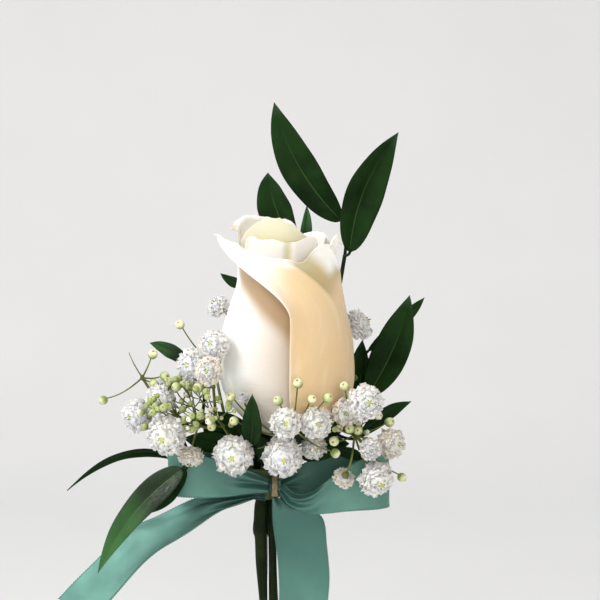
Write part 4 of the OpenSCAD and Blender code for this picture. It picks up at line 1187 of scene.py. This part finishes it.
def bezier(knots, t):
    """Point and way of a curve through its four knots."""
    point = ((1 - t) ** 3 * knots[0] + 3 * t * (1 - t) ** 2 * knots[1] + 3 * t * t * (1 - t) * knots[2]
             + t ** 3 * knots[3])
    way = ((1 - t) ** 2 * (knots[1] - knots[0]) + 2 * t * (1 - t) * (knots[2] - knots[1])
           + t * t * (knots[3] - knots[2]))
    return point, way.normalized()


def ruffled_petal(shape, knots, cross, wide, dice, number):
    """One small petal along a curve: narrow foot, ruffled blade and a jagged tip."""
    phase = dice.uniform(0, math.tau)
    twist = dice.uniform(-0.7, 0.7)
    jags = [dice.uniform(-0.5, 0.25) for j in range(BLOOM_COLS + 1)]
    rows = []
    for i in range(BLOOM_ROWS + 1):
        t = i / BLOOM_ROWS
        middle, forward = bezier(knots, t)
        normal = forward.cross(cross).normalized()
        spin = twist * ease(t, 0.3, 1)
        flat = swing(cross, normal, spin)
        face = swing(normal, -cross, spin)
        half = wide * mix(0.3, 1, ease(t, 0.2, 0.8))
        row = []
        for j in range(BLOOM_COLS + 1):
            q = 2 * j / BLOOM_COLS - 1
            wave = 0.3 * math.sin(q * 3.6 + phase) + 0.15 * math.cos(q * 7 + 2 * phase)
            ruffle = wave * wide * ease(t, 0.4, 1)
            jag = (jags[j] - 0.3 * q * q) * wide * ease(t, 0.6, 1)
            point = middle + flat * half * q + face * (ruffle + 0.25 * half * q * q) + forward * jag
            row.append((point, face * BLOOM_THICK / 2))
        rows.append(row)
    shape.sheet(*two_sides(rows), u0=number)


def bloom(shape, place, size, way, dice, first):
    """Double flower head: ruffled petals packed round an open green eye, on a small green cup."""
    f = Vector(way).normalized()
    r = size * HEAD_D / 2
    side = f.cross(Vector((0, 0, 1)) if abs(f.z) < 0.9 else Vector((1, 0, 0))).normalized()
    up = side.cross(f)
    heart = place - f * 0.5 * r

    def ray(angle, turn, length):
        """Point of the head's rounded form in a direction from its middle."""
        return place + (f * math.cos(angle) * 0.85 + swing(side, up, turn) * math.sin(angle)) * length
    for k in range(BLOOM_PETALS):
        share = (k + 0.5) / BLOOM_PETALS
        lean = math.acos(mix(math.cos(FIRST_LEAN), math.cos(LAST_LEAN), share)) + dice.uniform(-0.12, 0.12)
        a = k * PETAL_TURN + dice.uniform(-0.25, 0.25)
        reach = r * mix(0.78, 0.98, ease(share, 0, 0.3)) * dice.uniform(0.92, 1.05)
        knots = [heart, mix(heart, ray(lean * 0.7, a, reach * 0.7), 0.75), ray(lean - 0.14, a, reach * 0.95),
                 ray(lean + 0.2, a, reach)]
        wide = r * mix(0.15, 0.24, ease(share, 0, 0.4)) * dice.uniform(0.85, 1.15)
        ruffled_petal(shape, knots, swing(up, -side, a), wide, dice, first + k)
    rows = 9
    core = [[ray(mix(LAST_LEAN, 0.15, i / rows), turn, HEAD_CORE * r * dice.uniform(0.96, 1.04))
             for turn in once_round(14)] for i in range(rows + 1)]
    shape.solid(core, u0=first, v0=0.85, v1=dice.uniform(0.35, 0.7), tip=0.2)
    for k in range(5):
        a = math.tau * (k + dice.uniform(-0.2, 0.2)) / 5
        tip = heart + f * r * dice.uniform(1.25, 1.4) + swing(side, up, a) * 0.16 * r
        stamen = [mix(heart, tip, t) for t in (0.3, 0.6, 0.85, 0.93, 1)]
        shape.tube(stamen, [0.07 * MM, 0.06 * MM, 0.06 * MM, 0.14 * MM, 0.05 * MM], 5, slot=1, u0=k)
    shape.solid([[place + f * x * r + swing(side, up, b) * y * r * (1 + 0.07 * math.cos(5 * b))
                  for b in once_round(10)] for x, y in CUP], slot=1)


def first_number(number, key):
    """Surface number of a head's first petal; each petal has a number of its own."""
    return BLOOM_PETALS * number + (CREAM_FROM if key in CREAM_AND_SHADE_HEADS else 0)


def make_blooms():
    for number, (name, sprig, fork, place, size, way) in enumerate(HEADS):
        shape = Shape()
        bloom(shape, spot(place), size, way, random.Random(100 + number), first_number(number, name))
        fit(shape.make(name + "_head", bloom_skin, twig_skin), "bloom_white", name)
    shape = Shape()
    for number, (sprig, fork, place, size, way) in enumerate(SMALL_HEADS):
        bloom(shape, spot(place), size, way, random.Random(300 + number), first_number(number, number))
    fit(shape.make("small_heads", bloom_skin, twig_skin), "bloom_white", "small_blooms")


BUD_ROWS, BUD_SIDES = 12, 15
BUD_FACES = (BUD_ROWS + 2) * BUD_SIDES


def bud(shape, place, way, d, number, long=1.0):
    """Closed bud: a five-lobed globe with a small eye at its tip; a half-open one is longer."""
    side = way.orthogonal().normalized()
    up = way.cross(side)
    rings = []
    for i in range(BUD_ROWS + 1):
        share = i / BUD_ROWS
        a = math.pi * mix(0.03, 0.985, share)
        lobe = (0.05 if long == 1 else 0.16) * math.sin(a) * ease(share, 0.3, 0.8)
        middle = way * (-math.cos(a) * 1.02 * long - 0.12 * ease(share, 0.85, 1))
        ring = []
        for b in once_round(BUD_SIDES):
            out = swing(side, up, b) * math.sin(a) * (0.95 + lobe * math.cos(5 * b))
            ring.append(place + d / 2 * (middle + out))
        rings.append(ring)
    shape.solid(rings, u0=number)


def fork_places(sprig):
    return [spot(place) for grows_from, place in SPRIGS[sprig][2]]


def make_buds():
    shape = Shape()
    dice = random.Random(41)
    for number, (sprig, fork, place) in enumerate(BUDS):
        way = (spot(place) - fork_places(sprig)[fork]).normalized()
        facing = (way + Vector((dice.uniform(-0.3, 0.3), -0.55, 0))).normalized()
        bud(shape, spot(place), facing, BUD_D * dice.uniform(0.9, 1.0), number)
    fit(shape.make("closed_buds", bud_skin), "bud_cream", "bloom_buds")


def make_sprigs():
    """Branching stalks of the baby's breath, with a knuckle at each fork and a thin stalk to each flower."""
    for number, (name, turn, forks) in enumerate(SPRIGS):
        places = fork_places(number)
        # path, first and last diameter, sides
        stalks = []
        for (grows_from, share), place in zip(forks, places):
            if grows_from < 0:
                path = flow([bundle_slot(turn, 0.5 * MM), bundle_slot(turn, WRAP_H), place], 8)
                stalks.append((path, STALK_D, TWIG_D * 1.25, 8))
            else:
                sag = Vector((0, 0, -0.04)) * (place - places[grows_from]).length
                path = flow([places[grows_from], mix(places[grows_from], place, 0.5) + sag, place], 5)
                stalks.append((path, TWIG_D * 1.2, TWIG_D, 8))
        heads = [row[2:] for row in HEADS if row[1] == number]
        heads += [row[1:] for row in SMALL_HEADS if row[0] == number]
        for fork, place, size, way in heads:
            back = spot(place) - Vector(way).normalized() * size * HEAD_D / 2 * 0.8
            stalks.append((arrive(places[fork], back, way, 10), TWIG_D * 0.85, TWIG_D * 0.7, 7))
        for sprig, fork, share in BUDS:
            if sprig == number:
                way = (spot(share) - places[fork]).normalized()
                path = arrive(places[fork], spot(share) - way * BUD_D * 0.45, way + Vector((0, 0, 0.35)), 8)
                stalks.append((path, TWIG_D * 0.7, TWIG_D * 0.5, 6))
        for sprig, fork, share in BARE_STRANDS:
            if sprig == number:
                way = spot(share) - places[fork] + Vector((0, 0, 4 * MM))
                stalks.append((arrive(places[fork], spot(share), way, 8), TWIG_D * 0.6, TWIG_D * 0.3, 6))
        shape = Shape()
        for count, (path, first, last, sides) in enumerate(stalks):
            shape.tube(path, tapered(path, first, last), sides, u0=count)
        for count, place in enumerate(places):
            path = [place + Vector((0, 0, z * TWIG_D)) for z in (-1.1, -0.6, 0, 0.6, 1.1)]
            shape.tube(path, [k * TWIG_D for k in (0.2, 0.7, 0.85, 0.7, 0.2)], 8, u0=count)
        fit(shape.make(name + "_stalks", twig_skin), "twig_green", name)


# Sprays of small buds. sprig, fork, way that the spray grows, length share of its first stalk, times it forks
SPRAYS = [
    (0, 0, (-0.6, -0.5, 0.8), 0.24, 2), (0, 0, (-0.1, -0.7, 0.9), 0.22, 2),
    (0, 0, (-0.9, -0.3, 0.3), 0.26, 2),
    (0, 0, (0.1, -0.9, 0.5), 0.2, 1), (0, 0, (-0.4, -0.9, 0.4), 0.22, 2), (0, 1, (-0.3, -0.3, 1), 0.18, 2),
    (0, 1, (-0.9, -0.2, 0.5), 0.2, 3), (0, 1, (0.4, -0.3, 0.8), 0.16, 2), (0, 1, (-0.5, -0.8, 0.1), 0.14, 2),
    (0, 1, (0.3, -0.9, 0.3), 0.14, 2), (0, 2, (-0.2, -0.5, 0.9), 0.18, 3), (0, 2, (-0.8, -0.3, 0.5), 0.18, 3),
    (0, 2, (-0.2, -0.9, 0.1), 0.12, 2), (0, 3, (0.3, -0.3, 0.7), 0.14, 3), (0, 3, (-0.5, -0.8, 0.2), 0.14, 2),
    (0, 3, (-0.1, -0.2, 0.6), 0.12, 3), (0, 4, (0.4, -0.3, 0.5), 0.12, 2), (0, 4, (-0.3, -0.6, 0.2), 0.1, 2),
    (1, 0, (-0.5, -0.4, 0.8), 0.16, 2), (1, 1, (-0.6, -0.4, 0.7), 0.12, 2), (1, 2, (0.6, 0.2, 0.3), 0.12, 2),
    (2, 1, (-0.2, -0.6, 0.8), 0.12, 2), (2, 2, (0.3, -0.3, 0.5), 0.12, 2), (2, 2, (-0.4, -0.2, 0.2), 0.12, 2),
    (2, 1, (0.3, -0.6, 0.1), 0.12, 2), (2, 3, (0.3, -0.5, 0.3), 0.1, 1),
]
# Room that each sprig's sprays keep to, as shares of the rose's width and height
SPRAY_ROOM = [((-0.86, -0.85, 0.24), (-0.2, 0.1, 0.585)), ((-0.24, -0.95, 0.24), (0.5, 0.1, 0.5)),
              ((0.3, -0.9, 0.2), (0.86, 0.1, 0.5))]
SPRAY_STEPS, SPRAY_SIDES = 5, 6
STALK_FACES = (SPRAY_STEPS + 2) * SPRAY_SIDES


def near_rose(point):
    """Whether a point lies in the rose or closer to it than a bud needs."""
    share = clamp((point.z - ROSE_AT.z) / ROSE_H)
    away = Vector((point.x - ROSE_AT.x, point.y - ROSE_AT.y)).length
    return share > 0 and away < body_r(share) + 2.5 * MM


def near_head(point):
    """Whether a point lies in a flower head or on it."""
    heads = [row[3:5] for row in HEADS] + [row[2:4] for row in SMALL_HEADS]
    return any((point - spot(place)).length < size * HEAD_D / 2 + BUD_D * 0.3 for place, size in heads)


def grow_spray(stalks, buds, room, start, way, length, forks, dice):
    """A stalk that forks again and again and ends in buds, as far as there is room."""
    end = start + way * length
    low, high = (spot(p) for p in room)
    if near_rose(end) or not all(low[k] < end[k] < high[k] for k in range(3)):
        return
    if forks == 0 and near_head(end):
        return
    path = arrive(start, end, way + Vector((0, 0, 0.25)), SPRAY_STEPS)
    wide = TWIG_D * (0.34 + 0.1 * forks)
    stalks.tube(path, tapered(path, wide, wide * 0.85), SPRAY_SIDES, u0=len(stalks.faces) // STALK_FACES)
    if forks == 0:
        tip = (path[-1] - path[-2]).normalized()
        facing = (tip + Vector((dice.uniform(-0.4, 0.4), -0.5, 0))).normalized()
        half_open = dice.random() < 0.25
        d = BUD_D * dice.uniform(0.42, 0.8)
        number = len(buds.faces) // BUD_FACES + (CREAM_FROM if half_open else 0)
        bud(buds, end + tip * d * 0.45, facing, d, number, 1.3 if half_open else 1.0)
        return
    for k in range(dice.choice((2, 3, 3))):
        aside = Vector((dice.uniform(-1, 1), dice.uniform(-1, 0.5), dice.uniform(-0.6, 0.9)))
        turned = (way + aside * 0.75).normalized()
        grow_spray(stalks, buds, room, path[-1], turned, length * dice.uniform(0.5, 0.85), forks - 1, dice)


def make_sprays():
    stalks, buds = Shape(), Shape()
    dice = random.Random(77)
    for sprig, fork, way, reach, forks in SPRAYS:
        grow_spray(stalks, buds, SPRAY_ROOM[sprig], fork_places(sprig)[fork], Vector(way).normalized(),
                   reach * ROSE_D, forks, dice)
    fit(stalks.make("spray_stalks", twig_skin), "twig_green")
    fit(buds.make("spray_buds", small_bud_skin), "bud_cream")


# Binding and pin

def wrap_outline(count):
    """Outline of the wound tape round the stems and the pin, seen from above, as points about the bundle."""
    pin_r = PIN_D / 2 + 0.75 * MM
    to_pin = math.atan2(-BUNDLE.y, -BUNDLE.x)
    gap = BUNDLE.length
    # Angle at which the tape leaves the bundle in a straight run to the pin
    limit = math.acos((WRAP_OUT - pin_r) / gap)
    points = []
    for a in once_round(count):
        off = abs((a - to_pin + math.pi) % math.tau - math.pi)
        reach = WRAP_OUT / math.cos(off - limit) if off < limit else WRAP_OUT
        if off < limit and gap * math.sin(off) < pin_r:
            reach = min(reach, gap * math.cos(off) + math.sqrt(pin_r ** 2 - (gap * math.sin(off)) ** 2))
        points.append(Vector((math.cos(a), math.sin(a), 0)) * reach)
    return points


def make_binding():
    """Tape wound in overlapping turns."""
    count, rows, pitch, step = 120, 72, 3.2 * MM, 0.28 * MM
    outline = wrap_outline(count)
    outer, inner = [], []
    for i in range(rows + 1):
        z = WRAP_H * i / rows
        row = []
        for k, p in enumerate(outline):
            turn = (z / pitch + k / count) % 1
            back = step * (1 - ease(turn, 0, 0.1)) + step * turn * 0.9
            edge = 0.25 * MM * (ease(z / WRAP_H, 0.97, 1) + ease(1 - z / WRAP_H, 0.97, 1))
            ripple = 0.05 * MM * rough(k * 0.9, z * 900, 2.2)
            row.append(BUNDLE + p.normalized() * (p.length - back - edge + ripple) + Vector((0, 0, z)))
        outer.append(row)
    for z in (WRAP_H, 0):
        inner.append([BUNDLE + p.normalized() * WRAP_IN + Vector((0, 0, z)) for p in outline])
    shape = Shape()
    shape.grid(outer + inner + [outer[0]], closed=True, v1=3.0)
    fit(shape.make("wound_tape", tape, joined=True), "floral_tape", "binding")


def make_pin():
    """Steel pin with a point and a thicker neck, and its pearl head."""
    taper = 5 * SHAFT_D
    pearl_z = WRAP_H + PIN_SHOW + PEARL_D / 2
    neck = PIN_D / SHAFT_D
    # height, radius share
    marks = [(-PIN_L - taper, 0.12), (-PIN_L - 0.6 * taper, 0.5), (-PIN_L - 0.25 * taper, 0.85), (-PIN_L, 1),
             (-0.5 * PIN_L, 1), (-0.6 * MM, 1), (-0.3 * MM, neck), (pearl_z - PEARL_D * 0.4, neck)]
    shape = Shape()
    shape.tube([Vector((0, 0, z)) for z, share in marks], [SHAFT_D / 2 * share for z, share in marks], 24)
    fit(shape.make("pin_shaft", steel), "pin_steel", "lapel_pin")
    head = Shape()
    rows = 28
    angles = [math.pi * mix(0.06, 0.995, i / rows) for i in range(rows + 1)]
    head.tube([Vector((0, 0, pearl_z - PEARL_D / 2 * math.cos(a))) for a in angles],
              [PEARL_D / 2 * math.sin(a) for a in angles], 40)
    fit(head.make("pin_pearl", pearl), "pin_steel")


# The bow

PATH_STEPS = 400
RIBBON_COLS = 40
PLEATS = 2


def ribbon_path(table, scales):
    """Rows of (lower edge, upper edge) along a ribbon, evenly spaced, and the ribbon's length."""
    edges = [[KNOT + Vector(row[k]) * Vector(scales) for row in table] for k in (0, 1)]
    lower, upper = ([along(edge, i / PATH_STEPS) for i in range(PATH_STEPS + 1)] for edge in edges)
    middles = [(a + b) / 2 for a, b in zip(lower, upper)]
    runs = [0.0]
    for a, b in zip(middles, middles[1:]):
        runs.append(runs[-1] + (b - a).length)
    length = runs[-1]
    rows = int(length / (0.4 * MM))
    result = []
    k = 0
    for i in range(rows + 1):
        goal = length * i / rows
        while k < PATH_STEPS - 1 and runs[k + 1] < goal:
            k += 1
        f = clamp((goal - runs[k]) / (runs[k + 1] - runs[k]))
        result.append((mix(lower[k], lower[k + 1], f), mix(upper[k], upper[k + 1], f)))
    return result, length


def make_ribbon(name, node, table, scales, held, seed, shine):
    """Satin ribbon through its edges: it gathers in pleats where the edges come together. shine says which
    face is the bright satin one, the first or the second; the other face takes the duller reverse, whose
    darker colour is painted shade."""
    path, length = ribbon_path(table, scales)
    last = len(path) - 1
    rows = []
    for i, (low, high) in enumerate(path):
        ahead, behind = path[min(i + 1, last)], path[max(i - 1, 0)]
        way = (ahead[0] + ahead[1] - behind[0] - behind[1]).normalized()
        cross = (high - low).normalized()
        normal = cross.cross(way).normalized()
        narrow = clamp((high - low).length / RIBBON_W, 0.05, 1)
        depth = narrow * RIBBON_W / PLEATS / math.pi * math.sqrt(1 / narrow - 1) * ease(1 - narrow, 0.2, 0.7)
        picot = 0.16 * MM * (1 if i % 2 else -1)
        drift = 1.05 * rough(i * 0.04, seed)
        row = []
        for j in range(RIBBON_COLS + 1):
            u = j / RIBBON_COLS
            pleat = math.sin(math.tau * PLEATS * u + seed + drift) * (0.75 + 0.25 * math.sin(u * 7 + seed))
            soft = 0.55 * MM * rough(i * 0.028, u * 1.7, seed) * ease(min(i, last - i), 2, 20)
            edge = min(j, RIBBON_COLS - j)
            out = (picot if edge == 0 else 0) * (1 if j else -1)
            thick = 0.26 * MM * (1.5 if edge < 2 else 1)
            point = mix(low, high, u) + normal * (depth * pleat + soft) + cross * out
            row.append((point, normal * thick / 2))
        rows.append(row)
    shape = Shape()
    bright = 0 if shine == "first" else 1
    shape.sheet(*two_sides(rows), slot=bright, back_slot=1 - bright, v1=length / RIBBON_W)
    # Tails take the satin copy whose painted shade reaches further from the knot
    skin = tail_satin_shaded if held == "hung" else satin
    ribbon = fit(shape.make(name, skin, reverse_satin_shaded), "satin_teal", node)


def make_gather():
    """Pinched middle of the ribbon under the tie, in tight pleats."""
    rows = 14
    rings = []
    for i in range(rows + 1):
        x = mix(-0.95, 0.95, i / rows)
        size = mix(0.8, 0.97, ease(abs(x), 0.3, 0.95))
        ring = []
        for a in once_round(60):
            r = size * (1 - 0.13 * (0.5 + 0.5 * math.cos(9 * a + x)))
            ring.append(KNOT + Vector((x * TIE_W, -math.cos(a) * r * PINCH_D / 2,
                                       math.sin(a) * r * PINCH_H / 2)))
        rings.append(ring)
    shape = Shape()
    shape.solid(rings, tip=0.0)
    return fit(shape.make("pinched_ribbon", satin), "satin_teal", "ribbon_gather")


def make_tie():
    """Three turns of twisted fibre round the pinch."""
    shape = Shape()
    half_y, half_z, strand = 2.9 * MM, 2.75 * MM, 0.36 * MM
    for number, x in enumerate((-0.48, 0, 0.48)):
        rings = []
        for a in once_round(120):
            wide = math.copysign(abs(math.cos(a)) ** 0.8, math.cos(a)) * half_y
            tall = math.copysign(abs(math.sin(a)) ** 0.8, math.sin(a)) * half_z
            place = KNOT + Vector((x * MM + 0.12 * MM * math.sin(a + number), wide, tall))
            out = Vector((0, wide, tall)).normalized()
            rings.append([place + strand * (1 + 0.16 * math.cos(3 * (b + 14 * a + number)))
                          * swing(out, Vector((1, 0, 0)), b) for b in once_round(12)])
        shape.grid(rings + rings[:1], closed=True, v1=9.08, u0=number)
    fit(shape.make("fibre_tie", tie_fibre, joined=True), "tie_tan", "bow_tie")


def make_bow():
    gather = make_gather()
    loop = (LOOP_L, LOOP_D, RIBBON_W)
    side = (SIDE_TAIL_L, RIBBON_W, SIDE_TAIL_L)
    down = (RIBBON_W, RIBBON_W / 2, -TAIL_L)
    make_ribbon("loop_right", "ribbon_loop_right", LOOP_RIGHT, loop, "gathered", 1.2, "second")
    make_ribbon("loop_left", "ribbon_loop_left", LOOP_LEFT, loop, "gathered", 4.7, "first")
    make_ribbon("tail_left", "ribbon_tail_left", TAIL_LEFT, side, "hung", 7.9, "first")
    make_ribbon("tail_right", "ribbon_tail_right", TAIL_RIGHT, down, "hung", 2.9, "second")
    make_tie()


# The studio

# What the lights shine on
MIDDLE = Vector((5, -10, 60)) * MM


def show(name, data):
    """Object of a camera's or a light's data, in the scene."""
    thing = bpy.data.objects.new(name, data)
    bpy.context.scene.collection.objects.link(thing)
    return thing


def look_at(thing, place, aim):
    """Puts a camera or a light at a place, turned to what it aims at."""
    thing.location = place
    thing.rotation_euler = (Vector(aim) - Vector(place)).to_track_quat("-Z", "Y").to_euler()


def make_camera():
    """Camera at the photograph's angle: slightly above, looking along +Y."""
    aim = Vector((10, -8, 59)) * MM
    distance = 450 * MM
    rise = math.radians(10)
    data = bpy.data.cameras.new("camera")
    data.lens = 93.1
    data.sensor_width = 36
    camera = show("camera", data)
    look_at(camera, aim + distance * Vector((0, -math.cos(rise), math.sin(rise))), aim)
    bpy.context.scene.camera = camera


def make_studio():
    """Pale floor that curves up into a pale wall."""
    half, depth, floor, bend, top = 2.4, 1.5, -0.32, 0.5, 2.6
    profile = [(-half, floor), (depth - bend, floor)]
    for k in range(1, 13):
        a = math.pi / 2 * k / 12
        profile.append((depth - bend + bend * math.sin(a), floor + bend * (1 - math.cos(a))))
    profile.append((depth, top))
    shape = Shape()
    shape.grid([[Vector((x, y, z)) for x in (-half, half)] for y, z in profile])
    shape.make("studio_cove", wall_paint)


def add_light(name, place, size, power, colour):
    """Square light that shines on the middle of the object."""
    data = bpy.data.lights.new(name, "AREA")
    data.size = size
    data.energy = power
    data.color = colour
    look_at(show(name, data), place, MIDDLE)


def make_world():
    """Pale room, brighter towards the window at the upper left."""
    world = bpy.data.worlds.new("pale_room")
    world.use_nodes = True
    tree = world.node_tree
    towards = add(tree, "ShaderNodeVectorMath", operation="DOT_PRODUCT")
    tree.links.new(tree.nodes.new("ShaderNodeTexCoord").outputs["Generated"], towards.inputs[0])
    towards.inputs[1].default_value = Vector((-0.6, -0.2, 0.85)).normalized()
    share = ramp(tree, towards.outputs["Value"], -0.8, 1.0)
    background = tree.nodes["Background"]
    tree.links.new(blend_colour(tree, share, ROOM_WARM, ROOM_PALE), background.inputs["Color"])
    tree.links.new(math_node(tree, "MULTIPLY_ADD", share, 0.64, 0.34), background.inputs["Strength"])
    bpy.context.scene.world = world


def make_lights():
    """Window light from the upper left and a weak warm fill from the right."""
    add_light("window", (-0.82, -0.5, 0.9), 0.6, 13, (1.0, 0.99, 0.97))
    add_light("fill", (0.35, -1.0, 0.35), 0.8, 4.5, (1.0, 0.93, 0.82))
    make_world()
    bpy.context.scene.view_settings.view_transform = "Standard"


make_camera()
make_petals()
make_heart()
make_calyx()
make_leaves()
make_ruscus()
make_stems()
make_blooms()
make_buds()
make_sprigs()
make_sprays()
make_binding()
make_pin()
make_bow()
make_studio()
make_lights()

bpy.context.view_layer.update()
